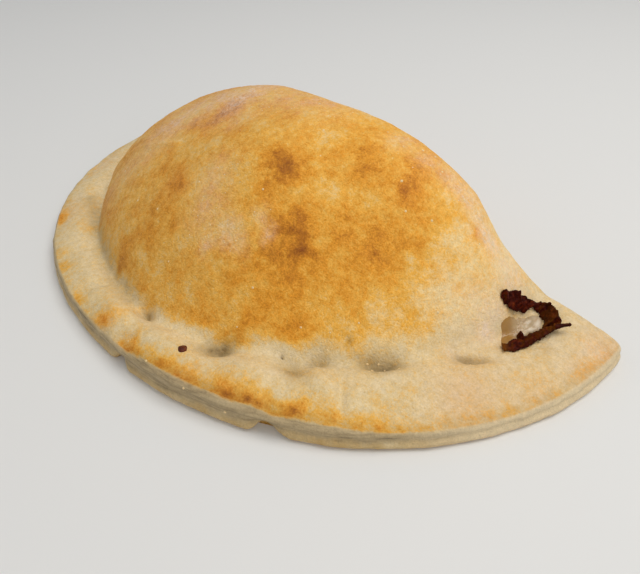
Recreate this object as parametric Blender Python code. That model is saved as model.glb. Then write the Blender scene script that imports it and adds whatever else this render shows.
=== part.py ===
# Steak and cheese stromboli: a round of dough folded over its filling and sealed along a puffed rim.
# Metres, +Z up. Length along X with the bare tip at +X, the sealed rim towards -Y, the fold at +Y.
# The origin is under the middle of the crust, on the surface that it rests on.

import math

import bmesh
import bpy
from mathutils import Vector
from mathutils.bvhtree import BVHTree

# Middle of the crust's plan, from which its sections run out
CENTRE_X = -0.0040
CENTRE_Y = 0.0200

# Plan of the sealed edge: a half moon whose two ends lie on the line y = END_Y
HALF_LENGTH = 0.1600
END_Y = 0.0660
RIM_REACH = 0.1436
FOLD_REACH = 0.0124
RIM_POWER_TIP = 2.0
RIM_POWER_BLUNT = 2.15
FOLD_POWER_TIP = 4.6
FOLD_POWER_BLUNT = 3.2

# Foot of the filled pocket, in plan and height; it reaches less far forward towards the tip
FOOT_REACH_BLUNT = 0.1236
FOOT_REACH_TIP = 0.1165
FOOT_SHIFT = (0.005, 0.075)
FOOT_HALF_BLUNT = 0.1370
FOOT_HALF_TIP = 0.1250
FOOT_HEIGHT = 0.0115
FLANGE_LEAST = 0.0100

# Hollow in which the skin runs into the rim: sharp at the blunt end, soft along the front
FILLET_SHARP = 0.0008
FILLET_SOFT = 0.0085
FILLET_SPAN_X = (-0.090, 0.000)
FILLET_SPAN_Y = (0.010, 0.050)

# Crest of the pocket, near the fold, and the curves in which the skin falls from it: power, root
CREST_X = 0.0120
CREST_Y = 0.0450
CREST_RISE = 0.0655
CREST_CURVE_BLUNT = (1.95, 1.42)
CREST_CURVE_TIP = (2.90, 0.98)
FRONT_CURVE = (2.15, 0.98)
FOLD_CURVE = (2.90, 1.77)
FOLD_CURVE_NOSE = (1.80, 1.20)

# Where along X the back's curve turns into the gentle nose, and how narrow each end's curve is
NOSE_SPAN = (0.080, 0.102)
END_SHARPNESS_TIP = 10
END_SHARPNESS_BLUNT = 1

# Slow waviness of the dough: turns per metre along X and Y, phase
WAVES = [(61.0, 73.0, 0.3), (61.0, -73.0, 1.1), (118.0, -54.0, 1.9)]
WAVE_HEIGHT = 0.00035

# Puffed rim of two layers of dough
RIM_THICK_FRONT = 0.0105
RIM_THICK_TIP = 0.0085
RIM_THICK_BLUNT = 0.0085
THINNING_TIP = (0.060, 0.158)
THINNING_BLUNT = (0.030, 0.150)
RIM_CROWN = 0.0022
CROWN_FULL_WIDTH = 0.016
CROWN_POWER = 1.25
LIP_ROUND = 0.0036
LIP_DROP = 0.0008
LIP_SIDE_DROP = 0.0026
SEAM_INSET = 0.0005
SEAM_SHARE = 0.55
LOWER_BULGE = 0.0007
BULGE_SHARE = 0.30
HEEL_BULGE = 0.0002
HEEL_SHARE = 0.10
BASE_INSET = 0.0024

# Thicker lobe of the rim between the two notches: middle along X, half span, extra height
LOBE = (0.0430, 0.0330, 0.0024)

# Fold: the dough's round back edge, and where it gives way to the sealed rim at its two ends
FOLD_TUCK = 0.0080
FOLD_START_Y = (-0.010, 0.008)
FOLD_END_TIP = (0.085, 0.155)
FOLD_END_BLUNT = (0.115, 0.157)
FOLD_CALM = 0.8

# Pinched notches in the lower layer: place along X, width before and after it, depth, lift
NOTCHES = [
    (0.0080, 0.0048, 0.0085, 0.0050, 0.0036),
    (0.0800, 0.0072, 0.0090, 0.0054, 0.0042),
]
NOTCH_POWER = 1.4

# Dents pressed at the pocket's foot: x, y, half length, half width, depth, turn in degrees
FINGER_DENTS = [
    (0.0005, -0.0570, 0.0056, 0.0034, 0.0038, 5.0),
    (0.0416, -0.0488, 0.0068, 0.0042, 0.0036, 50.0),
    (0.0705, -0.0350, 0.0060, 0.0042, 0.0028, -5.0),
    (0.0755, -0.0252, 0.0056, 0.0034, 0.0028, 48.0),
    (0.0943, -0.0087, 0.0098, 0.0030, 0.0044, 40.0),
    (0.1205, 0.0192, 0.0082, 0.0026, 0.0032, 50.0),
    (-0.0330, -0.0515, 0.0130, 0.0046, 0.0022, -14.0),
    (-0.0880, -0.0305, 0.0150, 0.0045, 0.0020, -38.0),
    (-0.0330, -0.0640, 0.0040, 0.0080, 0.0014, -14.0),
    (-0.0640, -0.0540, 0.0040, 0.0080, 0.0012, -26.0),
    (0.0950, -0.0320, 0.0090, 0.0024, 0.0010, -47.0),
    (0.0080, -0.0740, 0.0050, 0.0060, 0.0016, 0.0),
    (0.0800, -0.0560, 0.0050, 0.0060, 0.0014, 20.0),
]

# Low rolls of dough that stand between the dents, in the same form with a height
DOUGH_ROLLS = [
    (-0.0092, -0.0660, 0.0095, 0.0078, 0.0028, -5.0),
    (0.0210, -0.0610, 0.0095, 0.0078, 0.0018, 8.0),
    (0.0590, -0.0480, 0.0085, 0.0085, 0.0020, 26.0),
    (0.0840, -0.0330, 0.0075, 0.0046, 0.0018, -47.0),
    (0.0910, -0.0340, 0.0095, 0.0026, 0.0008, -47.0),
    (0.1100, 0.0000, 0.0100, 0.0080, 0.0012, 45.0),
    (0.1100, 0.0660, 0.0220, 0.0110, 0.0040, -8.0),
]

# Burst in the dough near the tip, where the filling came through
VENT = (0.1260, 0.0470, 0.0130, 0.0085, 75.0)
VENT_DEPTH = 0.0022

# Spot of filling that shows through the rim
SPOT_PLACE = (0.0331, -0.0602)
SPOT_RADIUS = 0.0021
SPOT_SHAPE = (1.0, 1.0, 0.8)
SPOT_SINK = 0.0008

# Meshing of the crust: the front, where y is under the span, has closer sections
SIDES = 172
FINER_FRONT = 0.9
FINER_SPAN = (0.030, 0.060)
DOME_RINGS = 16
DOME_SPACING = 0.92
FOLD_SPACING = 0.90
RIM_RINGS = 6
BASE_RINGS = (0.92, 0.45)
HALVINGS = 30

# Clearance between pieces that touch
GAP = 0.0004

# Crisped strip of steak: its line in plan with the strip's width and lean in degrees at each point
STEAK_LINE = [
    (0.1130, 0.0458, 0.0028, 52.0),
    (0.1150, 0.0484, 0.0066, 56.0),
    (0.1170, 0.0521, 0.0084, 56.0),
    (0.1190, 0.0560, 0.0090, 54.0),
    (0.1212, 0.0592, 0.0052, 42.0),
    (0.1246, 0.0620, 0.0044, 42.0),
    (0.1281, 0.0613, 0.0062, 52.0),
    (0.1310, 0.0588, 0.0076, 54.0),
    (0.1335, 0.0550, 0.0080, 48.0),
    (0.1347, 0.0508, 0.0070, 30.0),
    (0.1334, 0.0464, 0.0054, 20.0),
    (0.1318, 0.0422, 0.0052, 10.0),
    (0.1302, 0.0379, 0.0050, 6.0),
    (0.1280, 0.0341, 0.0044, 5.0),
    (0.1254, 0.0318, 0.0028, 5.0),
]
STEAK_STATIONS = 56
STEAK_THICK = 0.0013

# The strip's sway in degrees, its crimps and its ragged edge, each with turns along the strip
STEAK_SWAY = (9.0, 41.0)
STEAK_CRIMP = 0.0009
CRIMP_TURNS = (67.0, 23.0)
RAGGED_EDGE = [(0.16, 97.0), (0.10, 171.0)]

# Twig of meat that sticks out of the strip: place along it, length, half width in stations
TWIG_AT = 0.590
TWIG_LONG = 0.0038
TWIG_STATIONS = 1.3

# Melted cheese inside the steak's loop
CHEESE_X = 0.1248
CHEESE_Y = 0.0475
CHEESE_HALF_LONG = 0.0103
CHEESE_HALF_WIDE = 0.0048
CHEESE_TURN = 70.0
CHEESE_THICK = 0.0019
CHEESE_EDGE = 0.0007
CHEESE_WAVES = [(0.05, 3.0, 0.5), (0.03, 5.0, 2.1)]
CHEESE_SIDES = 28
CHEESE_RINGS = 4

CRUST_COLOUR = (0.62, 0.36, 0.13)
STEAK_COLOUR = (0.045, 0.014, 0.006)
CHEESE_COLOUR = (0.66, 0.55, 0.36)


def clear_scene():
    for item in list(bpy.data.objects):
        bpy.data.objects.remove(item, do_unlink=True)


def make_material(name, colour, roughness):
    material = bpy.data.materials.new(name)
    material.use_nodes = True
    shader = material.node_tree.nodes["Principled BSDF"]
    shader.inputs["Base Color"].default_value = (*colour, 1.0)
    shader.inputs["Roughness"].default_value = roughness
    shader.inputs["Metallic"].default_value = 0.0
    return material


def make_object(name, points, faces, material):
    mesh = bpy.data.meshes.new(name)
    mesh.from_pydata([tuple(p) for p in points], [], faces)
    mesh.validate()
    mesh.shade_smooth()
    mesh.materials.append(material)
    item = bpy.data.objects.new(name, mesh)
    bpy.context.scene.collection.objects.link(item)
    return item


def ease(low, high, value):
    share = min(1.0, max(0.0, (value - low) / (high - low)))
    return share * share * (3.0 - 2.0 * share)


def mixed(first, second, share):
    return (1.0 - share) * first + share * second


def mixed_curve(first, second, share):
    return mixed(first[0], second[0], share), mixed(first[1], second[1], share)


def arch(share, curve):
    # falls from 1 in the middle to 0 at share 1
    power, root = curve
    return max(0.0, 1.0 - min(1.0, share) ** power) ** (1.0 / root)


def fold_power(x):
    return FOLD_POWER_TIP if x > 0.0 else FOLD_POWER_BLUNT


def outline_level(x, y):
    # under 1 inside the sealed edge, over 1 outside it
    along = abs(x) / HALF_LENGTH
    if y > END_Y:
        power = fold_power(x)
        return along ** power + ((y - END_Y) / FOLD_REACH) ** power
    power = RIM_POWER_TIP if x > 0.0 else RIM_POWER_BLUNT
    return along ** power + ((END_Y - y) / RIM_REACH) ** power


def foot_level(x, y):
    # the same for the pocket's foot
    along = abs(x) / (FOOT_HALF_TIP if x > 0.0 else FOOT_HALF_BLUNT)
    reach = mixed(FOOT_REACH_BLUNT, FOOT_REACH_TIP, ease(*FOOT_SHIFT, x)) if y < END_Y else FOLD_REACH
    return along ** 2 + ((END_Y - y) / reach) ** 2


def reach_along(level, angle, start_x=CENTRE_X, start_y=CENTRE_Y):
    # distance from a point to a level line in one direction, by halving
    near = 0.0
    far = 2.0 * HALF_LENGTH
    for _ in range(HALVINGS):
        middle = 0.5 * (near + far)
        x = start_x + middle * math.cos(angle)
        y = start_y + middle * math.sin(angle)
        if level(x, y) < 1.0:
            near = middle
        else:
            far = middle
    return near


def even_angles(count):
    # directions from the centre that cut the sealed edge into equal lengths, shorter along the front
    steps = 12 * count
    points = []
    for i in range(steps + 1):
        angle = 2.0 * math.pi * i / steps
        reach = reach_along(outline_level, angle)
        points.append((reach * math.cos(angle), reach * math.sin(angle), angle))
    walked = [0.0]
    for (xa, ya, _), (xb, yb, _) in zip(points, points[1:]):
        finer = 1.0 + FINER_FRONT * (1.0 - ease(*FINER_SPAN, yb))
        walked.append(walked[-1] + math.hypot(xb - xa, yb - ya) * finer)
    angles = []
    k = 0
    for i in range(count):
        target = walked[-1] * i / count
        while walked[k + 1] < target:
            k += 1
        share = (target - walked[k]) / (walked[k + 1] - walked[k])
        angles.append(mixed(points[k][2], points[k + 1][2], share))
    return angles


def fold_line(x):
    # back edge of the fold
    share = min(1.0, abs(x) / HALF_LENGTH)
    power = fold_power(x)
    return END_Y + FOLD_REACH * (1.0 - share ** power) ** (1.0 / power)


def bare_rise(x, y):
    # how far the filled pocket stands over the rim at a place in plan
    ahead = x - CREST_X
    aside = y - CREST_Y
    end_curve = CREST_CURVE_TIP if ahead > 0.0 else CREST_CURVE_BLUNT
    if aside > 0.0:
        # behind the crest the skin drops along Y to the fold
        direction = 0.0 if ahead > 0.0 else math.pi
        share = abs(ahead) / reach_along(foot_level, direction, CREST_X, CREST_Y)
        back = aside / (fold_line(x) - CREST_Y)
        curve = mixed_curve(FOLD_CURVE, FOLD_CURVE_NOSE, ease(*NOSE_SPAN, x))
        return CREST_RISE * arch(share, end_curve) * arch(back, curve)
    # in front of it the skin falls along rays from the crest's top to the foot
    direction = math.atan2(aside, ahead)
    share = math.hypot(aside, ahead) / reach_along(foot_level, direction, CREST_X, CREST_Y)
    sharpness = END_SHARPNESS_TIP if ahead > 0.0 else END_SHARPNESS_BLUNT
    curve = mixed_curve(FRONT_CURVE, end_curve, abs(math.cos(direction)) ** sharpness)
    return CREST_RISE * arch(share, curve)


def pocket_rise(x, y):
    # the same with the hollow in which it runs into the rim
    rise = bare_rise(x, y)
    soft = ease(*FILLET_SPAN_X, x) * (1.0 - ease(*FILLET_SPAN_Y, y))
    fillet = mixed(FILLET_SHARP, FILLET_SOFT, soft)
    return math.hypot(rise, fillet) - fillet * (1.0 - rise / CREST_RISE)


def bump(x, y, place):
    # soft oval hill of height 1 at a place, turned in plan
    px, py, half_long, half_wide, turn = place
    angle = math.radians(turn)
    along = (x - px) * math.cos(angle) + (y - py) * math.sin(angle)
    across = (y - py) * math.cos(angle) - (x - px) * math.sin(angle)
    return math.exp(-((along / half_long) ** 2 + (across / half_wide) ** 2))


def relief(x, y):
    # dents, rolls, the burst and the dough's slow waviness
    height = -VENT_DEPTH * bump(x, y, VENT)
    for px, py, half_long, half_wide, depth, turn in FINGER_DENTS:
        height -= depth * bump(x, y, (px, py, half_long, half_wide, turn))
    for px, py, half_long, half_wide, rise, turn in DOUGH_ROLLS:
        height += rise * bump(x, y, (px, py, half_long, half_wide, turn))
    for turns_x, turns_y, phase in WAVES:
        height += WAVE_HEIGHT * math.sin(turns_x * x + turns_y * y + phase)
    return height


def rim_thickness(x):
    middle, half_span, extra = LOBE
    lobe = extra * math.exp(-((x - middle) / half_span) ** 2)
    if x > 0.0:
        return lobe + mixed(RIM_THICK_FRONT, RIM_THICK_TIP, ease(*THINNING_TIP, x))
    return lobe + mixed(RIM_THICK_FRONT, RIM_THICK_BLUNT, ease(*THINNING_BLUNT, -x))


def fold_share(x, y):
    # 1 where the edge is the fold, 0 where it is the sealed rim
    back = ease(END_Y + FOLD_START_Y[0], END_Y + FOLD_START_Y[1], y)
    return back * (1.0 - ease(*FOLD_END_TIP, x)) * (1.0 - ease(*FOLD_END_BLUNT, -x))


def notch_share(x, y):
    # how far, and how high, the lower layer is pinched in at this place on the rim
    depth = 0.0
    lift = 0.0
    if y < CENTRE_Y:
        for place, before, after, most, rise in NOTCHES:
            away = (place - x) / before if x < place else (x - place) / after
            share = max(0.0, 1.0 - away) ** NOTCH_POWER
            depth += most * share
            lift += rise * share
    return depth, lift


def rim_side(reach, top, notch):
    # from the lip down the two layers to the base: distance from the centre, height
    depth, lift = notch
    return [
        (reach - 0.40 * LIP_ROUND, top - LIP_DROP),
        (reach - 0.10 * LIP_ROUND, top - LIP_SIDE_DROP),
        (reach - SEAM_INSET - 0.45 * depth, SEAM_SHARE * top),
        (reach + LOWER_BULGE - 0.85 * depth, BULGE_SHARE * top + 0.5 * lift),
        (reach + HEEL_BULGE - depth, HEEL_SHARE * top + 0.9 * lift),
        (reach - BASE_INSET - depth, lift),
    ]


def fold_side(reach, top):
    # the same six places down the round fold
    places = []
    for k in range(1, 7):
        angle = 0.5 * math.pi * k / 6
        inset = FOLD_TUCK * (1.0 - math.cos(angle))
        places.append((reach - inset, top * (1.0 - math.sin(angle))))
    return places


def section_points(angle):
    # one radial section of the crust: pocket, foot, rim or fold, side and base
    cosine = math.cos(angle)
    sine = math.sin(angle)
    reach = reach_along(outline_level, angle)
    foot = min(reach_along(foot_level, angle), reach - FLANGE_LEAST)
    edge_x = CENTRE_X + reach * cosine
    edge_y = CENTRE_Y + reach * sine
    top = rim_thickness(edge_x)
    fold = fold_share(edge_x, edge_y)
    wide = mixed(reach - LIP_ROUND, reach, fold) - foot
    crown = RIM_CROWN * min(1.0, wide / CROWN_FULL_WIDTH) * (1.0 - fold)
    points = []
    upper = DOME_RINGS + RIM_RINGS
    for k in range(upper + 1):
        if k <= DOME_RINGS:
            distance = foot * (k / DOME_RINGS) ** DOME_SPACING
        else:
            distance = foot + (reach - LIP_ROUND - foot) * (k - DOME_RINGS) / RIM_RINGS
        fold_distance = reach * math.sin(0.5 * math.pi * k / upper) ** FOLD_SPACING
        distance = mixed(distance, fold_distance, fold)
        x = CENTRE_X + distance * cosine
        y = CENTRE_Y + distance * sine
        outward = min(1.0, max(0.0, (distance - foot) / wide))
        height = mixed(FOOT_HEIGHT, top, outward) + crown * math.sin(math.pi * outward) ** CROWN_POWER
        settled = 1.0 - FOLD_CALM * fold * ease(0.75, 1.0, k / upper)
        points.append((x, y, height + pocket_rise(x, y) + relief(x, y) * settled))
    notch = notch_share(edge_x, edge_y)
    for rim, back in zip(rim_side(reach, top, notch), fold_side(reach, top)):
        distance = mixed(rim[0], back[0], fold)
        height = mixed(rim[1], back[1], fold)
        points.append((CENTRE_X + distance * cosine, CENTRE_Y + distance * sine, height))
    base = reach - mixed(BASE_INSET, FOLD_TUCK, fold)
    for share in BASE_RINGS:
        points.append((CENTRE_X + share * base * cosine, CENTRE_Y + share * base * sine, 0.0))
    return points


def ring_faces(rings, sides):
    # quads between neighbouring rings, the first ring being the point above
    faces = []
    for ring in range(rings - 1):
        for i in range(sides):
            j = (i + 1) % sides
            a = 1 + ring * sides
            b = a + sides
            faces.append((a + i, b + i, b + j, a + j))
    return faces


def capped_body(top_point, rings, bottom_point):
    # closed body from rings of points that run from the top point to the bottom point
    sides = len(rings[0])
    points = [top_point]
    for ring in rings:
        points += ring
    points.append(bottom_point)
    last = len(points) - 1
    first_low = last - sides
    faces = [(0, 1 + i, 1 + (i + 1) % sides) for i in range(sides)]
    faces += ring_faces(len(rings), sides)
    faces += [(first_low + (i + 1) % sides, first_low + i, last) for i in range(sides)]
    return points, faces


def build_crust(material):
    sections = [section_points(angle) for angle in even_angles(SIDES)]
    rings = [[section[k] for section in sections] for k in range(1, len(sections[0]))]
    points, faces = capped_body(sections[0][0], rings, (CENTRE_X, CENTRE_Y, 0.0))
    return make_object("crust", points, faces, material)


def skin_tree(item):
    return BVHTree.FromObject(item, bpy.context.evaluated_depsgraph_get())


def resting_height(tree, x, y):
    # height of the crust's surface under a place
    hit = tree.ray_cast(Vector((x, y, 1.0)), Vector((0.0, 0.0, -1.0)))
    return hit[0].z


def fuse_spot(crust, tree):
    # the spot of filling is one body with the rim that it shows through
    x, y = SPOT_PLACE
    mesh = bpy.data.meshes.new("filling_spot")
    shape = bmesh.new()
    bmesh.ops.create_icosphere(shape, subdivisions=2, radius=SPOT_RADIUS)
    shape.to_mesh(mesh)
    shape.free()
    spot = bpy.data.objects.new("filling_spot", mesh)
    spot.location = (x, y, resting_height(tree, x, y) - SPOT_SINK)
    spot.scale = SPOT_SHAPE
    group = bpy.data.collections.new("fused_bits")
    bpy.context.scene.collection.children.link(group)
    group.objects.link(spot)
    union = crust.modifiers.new("spot", "BOOLEAN")
    union.operation = "UNION"
    union.operand_type = "COLLECTION"
    union.collection = group
    bpy.context.view_layer.update()
    joined = bpy.data.meshes.new_from_object(crust.evaluated_get(bpy.context.evaluated_depsgraph_get()))
    crust.modifiers.remove(union)
    crust.data = joined
    bpy.data.objects.remove(spot, do_unlink=True)
    bpy.data.collections.remove(group)


def smooth_point(stops, share):
    # point on a smooth curve through the stops, for a share of 0 to 1
    spans = len(stops) - 1
    place = min(share * spans, spans - 1e-6)
    k = int(place)
    t = place - k
    before = stops[max(0, k - 1)]
    after = stops[min(spans, k + 2)]
    result = []
    for p0, p1, p2, p3 in zip(before, stops[k], stops[k + 1], after):
        slope = p2 - p0
        turn = 2.0 * p0 - 5.0 * p1 + 4.0 * p2 - p3
        twist = 3.0 * p1 - p0 - 3.0 * p2 + p3
        result.append(0.5 * (2.0 * p1 + slope * t + turn * t * t + twist * t ** 3))
    return result


def twig_reach(share):
    # how far the twig sticks out of the strip's edge here
    near = abs(share - TWIG_AT) * STEAK_STATIONS
    return TWIG_LONG * max(0.0, 1.0 - near / TWIG_STATIONS)


def steak_ring(tree, share):
    # the strip's section at one station, and how far it has to rise to lie clear of the crust
    x, y, wide, lean = smooth_point(STEAK_LINE, share)
    ahead = smooth_point(STEAK_LINE, min(1.0, share + 0.01))
    behind = smooth_point(STEAK_LINE, max(0.0, share - 0.01))
    along = Vector((ahead[0] - behind[0], ahead[1] - behind[1], 0.0)).normalized()
    outward = Vector((-along.y, along.x, 0.0))
    tilt = math.radians(lean + STEAK_SWAY[0] * math.sin(STEAK_SWAY[1] * share))
    across = outward * math.cos(tilt) + Vector((0.0, 0.0, math.sin(tilt)))
    normal = across.cross(along).normalized()
    crimp = STEAK_CRIMP * math.sin(CRIMP_TURNS[0] * share) * math.sin(CRIMP_TURNS[1] * share + 0.8)
    half = 0.5 * wide * (1.0 + sum(size * math.sin(turns * share) for size, turns in RAGGED_EDGE))
    thick = 0.5 * STEAK_THICK
    outer = half + twig_reach(share)
    outline = [
        (-half, 0.0), (-0.7 * half, -thick), (0.0, -1.1 * thick), (0.7 * half, -thick),
        (outer, 0.0), (0.7 * half, thick), (0.0, 1.1 * thick), (-0.7 * half, thick),
    ]
    middle = Vector((x, y, 0.0))
    ring = []
    for side, over in outline:
        belly = crimp * (1.0 - (side / outer) ** 2)
        ring.append(middle + across * side + normal * (over + belly))
    lift = max(resting_height(tree, point.x, point.y) + GAP - point.z for point in ring)
    return ring, lift


def build_steak(tree, material):
    flat = [steak_ring(tree, k / (STEAK_STATIONS - 1)) for k in range(STEAK_STATIONS)]
    # each station is as high as the highest near it, then eased, so the strip lies in one sweep
    lifts = [lift for _, lift in flat]
    highest = [max(lifts[max(0, k - 2):k + 3]) for k in range(STEAK_STATIONS)]
    rings = []
    for k, (ring, _) in enumerate(flat):
        near = highest[max(0, k - 2):k + 3]
        lift = sum(near) / len(near)
        rings.append([(point.x, point.y, point.z + lift) for point in ring])
    start = sum((Vector(point) for point in rings[0]), Vector()) / len(rings[0])
    end = sum((Vector(point) for point in rings[-1]), Vector()) / len(rings[-1])
    points, faces = capped_body(tuple(start), rings, tuple(end))
    return make_object("steak_curl", points, faces, material)


def cheese_place(distance, angle):
    # plan point of the puddle, distance 1 being its wavy edge
    wavy = 1.0 + sum(size * math.sin(turns * angle + phase) for size, turns, phase in CHEESE_WAVES)
    along = distance * wavy * CHEESE_HALF_LONG * math.cos(angle)
    across = distance * wavy * CHEESE_HALF_WIDE * math.sin(angle)
    turn = math.radians(CHEESE_TURN)
    x = CHEESE_X + along * math.cos(turn) - across * math.sin(turn)
    y = CHEESE_Y + along * math.sin(turn) + across * math.cos(turn)
    return x, y


def build_cheese(tree, material):
    upper = []
    lower = []
    for k in range(1, CHEESE_RINGS + 1):
        share = k / CHEESE_RINGS
        thick = CHEESE_EDGE + CHEESE_THICK * (1.0 - share ** 2)
        top_ring = []
        base_ring = []
        for i in range(CHEESE_SIDES):
            x, y = cheese_place(share, 2.0 * math.pi * i / CHEESE_SIDES)
            floor = resting_height(tree, x, y) + GAP
            top_ring.append((x, y, floor + thick))
            base_ring.append((x, y, floor))
        upper.append(top_ring)
        lower.append(base_ring)
    floor = resting_height(tree, CHEESE_X, CHEESE_Y) + GAP
    top_point = (CHEESE_X, CHEESE_Y, floor + CHEESE_EDGE + CHEESE_THICK)
    points, faces = capped_body(top_point, upper + lower[::-1], (CHEESE_X, CHEESE_Y, floor))
    return make_object("cheese_melt", points, faces, material)


def main():
    clear_scene()
    crust = build_crust(make_material("baked_crust", CRUST_COLOUR, 0.62))
    tree = skin_tree(crust)
    build_steak(tree, make_material("crisped_steak", STEAK_COLOUR, 0.50))
    build_cheese(tree, make_material("melted_cheese", CHEESE_COLOUR, 0.35))
    fuse_spot(crust, tree)


main()
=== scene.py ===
import math
import bmesh
import bpy
import numpy as np
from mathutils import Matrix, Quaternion, Vector, noise
from mathutils.bvhtree import BVHTree
from mathutils.kdtree import KDTree


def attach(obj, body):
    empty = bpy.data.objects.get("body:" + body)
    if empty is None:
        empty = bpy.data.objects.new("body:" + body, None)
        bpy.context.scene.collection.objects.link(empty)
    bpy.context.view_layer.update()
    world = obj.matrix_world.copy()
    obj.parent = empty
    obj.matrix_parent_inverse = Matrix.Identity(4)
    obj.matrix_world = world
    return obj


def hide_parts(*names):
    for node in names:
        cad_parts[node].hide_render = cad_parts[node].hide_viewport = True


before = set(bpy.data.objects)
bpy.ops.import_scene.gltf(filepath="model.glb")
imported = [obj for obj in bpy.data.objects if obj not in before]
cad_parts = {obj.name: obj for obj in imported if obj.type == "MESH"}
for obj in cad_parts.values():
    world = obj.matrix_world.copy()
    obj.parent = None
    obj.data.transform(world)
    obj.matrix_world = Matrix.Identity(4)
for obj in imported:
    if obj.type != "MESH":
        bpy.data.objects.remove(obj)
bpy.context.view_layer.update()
print("frame loaded:", len(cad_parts), "nodes")


# small helpers that every piece uses
def ease(low, high, value):
    share = np.clip((value - low) / (high - low), 0.0, 1.0)
    return share * share * (3.0 - 2.0 * share)


def mixed(first, second, share):
    return (1.0 - share) * first + share * second


def arch(share, power, root):
    return np.maximum(0.0, 1.0 - np.minimum(1.0, share) ** power) ** (1.0 / root)


def tone(red, green, blue):  # a colour as painters name it, 0 to 255, made linear
    shares = (value / 255 for value in (red, green, blue))
    return tuple(s / 12.92 if s < 0.0404 else ((s + 0.055) / 1.055) ** 2.4 for s in shares) + (1.0,)


def hill(x, y, place):  # soft oval hill of height 1, turned in plan: x, y, half length, half width, degrees
    px, py, halfLong, halfWide, turn = place
    angle = math.radians(turn)
    along = (x - px) * math.cos(angle) + (y - py) * math.sin(angle)
    across = (y - py) * math.cos(angle) - (x - px) * math.sin(angle)
    return np.exp(-((along / halfLong) ** 2 + (across / halfWide) ** 2))


def withHills(height, x, y, rows, sign=1.0):  # rows of x, y, half length, half width, height, degrees
    for px, py, halfLong, halfWide, rise, turn in rows:
        height = height + sign * rise * hill(x, y, (px, py, halfLong, halfWide, turn))
    return height


def smoothBetween(before, first, second, after, t):  # a smooth curve from the first to the second place
    bend = 2 * before - 5 * first + 4 * second - after
    twist = 3 * first - before - 3 * second + after
    return 0.5 * (2 * first + (second - before) * t + bend * t * t + twist * t ** 3)


def grainField(points, size, seed, octaves=2):  # smooth noise of about -1 to 1 with features of one size
    shift = Vector((7.1 * seed, -3.7 * seed, 11.3 * seed))
    return np.array([noise.fractal(Vector(p) / size + shift, 0.6, 2.0, octaves) for p in points])


def linked(name, data):
    made = bpy.data.objects.new(name, data)
    bpy.context.scene.collection.objects.link(made)
    return made


def newPiece(name, points, faces, material, smooth=True):
    mesh = bpy.data.meshes.new(name)
    mesh.from_pydata(points, [], faces)
    mesh.validate()
    if smooth:
        mesh.shade_smooth()
    mesh.materials.append(material)
    return linked(name, mesh)


def settle(piece):  # what the modifiers make becomes the piece's own mesh
    made = bpy.data.meshes.new_from_object(piece.evaluated_get(bpy.context.evaluated_depsgraph_get()))
    piece.modifiers.clear()
    piece.data = made
    made.shade_smooth()


def addMask(piece, name, values):
    mask = piece.data.attributes.new(name, "FLOAT", "POINT")
    mask.data.foreach_set("value", np.clip(values, 0.0, 1.5).astype(np.float32))


def vertexArray(mesh):
    flat = np.empty(len(mesh.vertices) * 3)
    mesh.vertices.foreach_get("co", flat)
    return flat.reshape(-1, 3)


def normalArray(mesh):
    flat = np.empty(len(mesh.vertices) * 3, dtype=np.float32)
    mesh.vertex_normals.foreach_get("vector", flat)
    return flat.reshape(-1, 3).astype(float)


# shader building
def nodeAdd(tree, kind, place=(0, 0), **settings):
    made = tree.nodes.new(kind)
    made.location = place
    for key, value in settings.items():
        setattr(made, key, value)
    return made


def mathNode(tree, operation, first, second=None, clamp=False):
    made = nodeAdd(tree, "ShaderNodeMath", operation=operation, use_clamp=clamp)
    for socket, value in zip(made.inputs, (first, second)):
        if value is None:
            continue
        if isinstance(value, (int, float)):
            socket.default_value = value
        else:
            tree.links.new(value, socket)
    return made.outputs[0]


def mixColour(tree, share, first, second, blend="MIX"):
    made = nodeAdd(tree, "ShaderNodeMix", data_type="RGBA", blend_type=blend)
    for socket, value in ((made.inputs[0], share), (made.inputs[6], first), (made.inputs[7], second)):
        if isinstance(value, (int, float, tuple)):
            socket.default_value = value
        else:
            tree.links.new(value, socket)
    return made.outputs[2]


def rampNode(tree, value, stops):  # a stop's colour is a grey value, or red, green and blue of 0 to 255
    made = nodeAdd(tree, "ShaderNodeValToRGB")
    ramp = made.color_ramp
    while len(ramp.elements) < len(stops):
        ramp.elements.new(0.5)
    for element, (place, colour) in zip(ramp.elements, stops):
        element.position = place
        element.color = tone(*colour) if isinstance(colour, tuple) else (colour, colour, colour, 1.0)
    tree.links.new(value, made.inputs[0])
    return made.outputs[0]


def maskNode(tree, name):
    return nodeAdd(tree, "ShaderNodeAttribute", attribute_name=name).outputs["Fac"]


def maskTimes(tree, name, factor):
    return mathNode(tree, "MULTIPLY", maskNode(tree, name), factor, clamp=True)


def swingNode(tree, texture, share):  # a texture's swing about its middle
    return mathNode(tree, "MULTIPLY", mathNode(tree, "SUBTRACT", texture, 0.5), share)


def weighedSum(tree, first, firstShare, second, secondShare):
    parts = ((first, firstShare), (second, secondShare))
    return mathNode(tree, "ADD", *(mathNode(tree, "MULTIPLY", value, share) for value, share in parts))


def noiseNode(tree, vector, scale, detail, roughness, stretch=None):
    if stretch:
        mapping = nodeAdd(tree, "ShaderNodeMapping")
        mapping.inputs["Scale"].default_value = stretch
        tree.links.new(vector, mapping.inputs["Vector"])
        vector = mapping.outputs[0]
    made = nodeAdd(tree, "ShaderNodeTexNoise")
    made.inputs["Scale"].default_value = scale
    made.inputs["Detail"].default_value = detail
    made.inputs["Roughness"].default_value = roughness
    tree.links.new(vector, made.inputs["Vector"])
    return made.outputs["Fac"]


def groupSockets(tree, inputs, outputs):
    for name, kind, value in inputs:
        socket = tree.interface.new_socket(name, in_out="INPUT", socket_type=kind)
        if value is not None:
            socket.default_value = value
    for name, kind in outputs:
        tree.interface.new_socket(name, in_out="OUTPUT", socket_type=kind)


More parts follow.
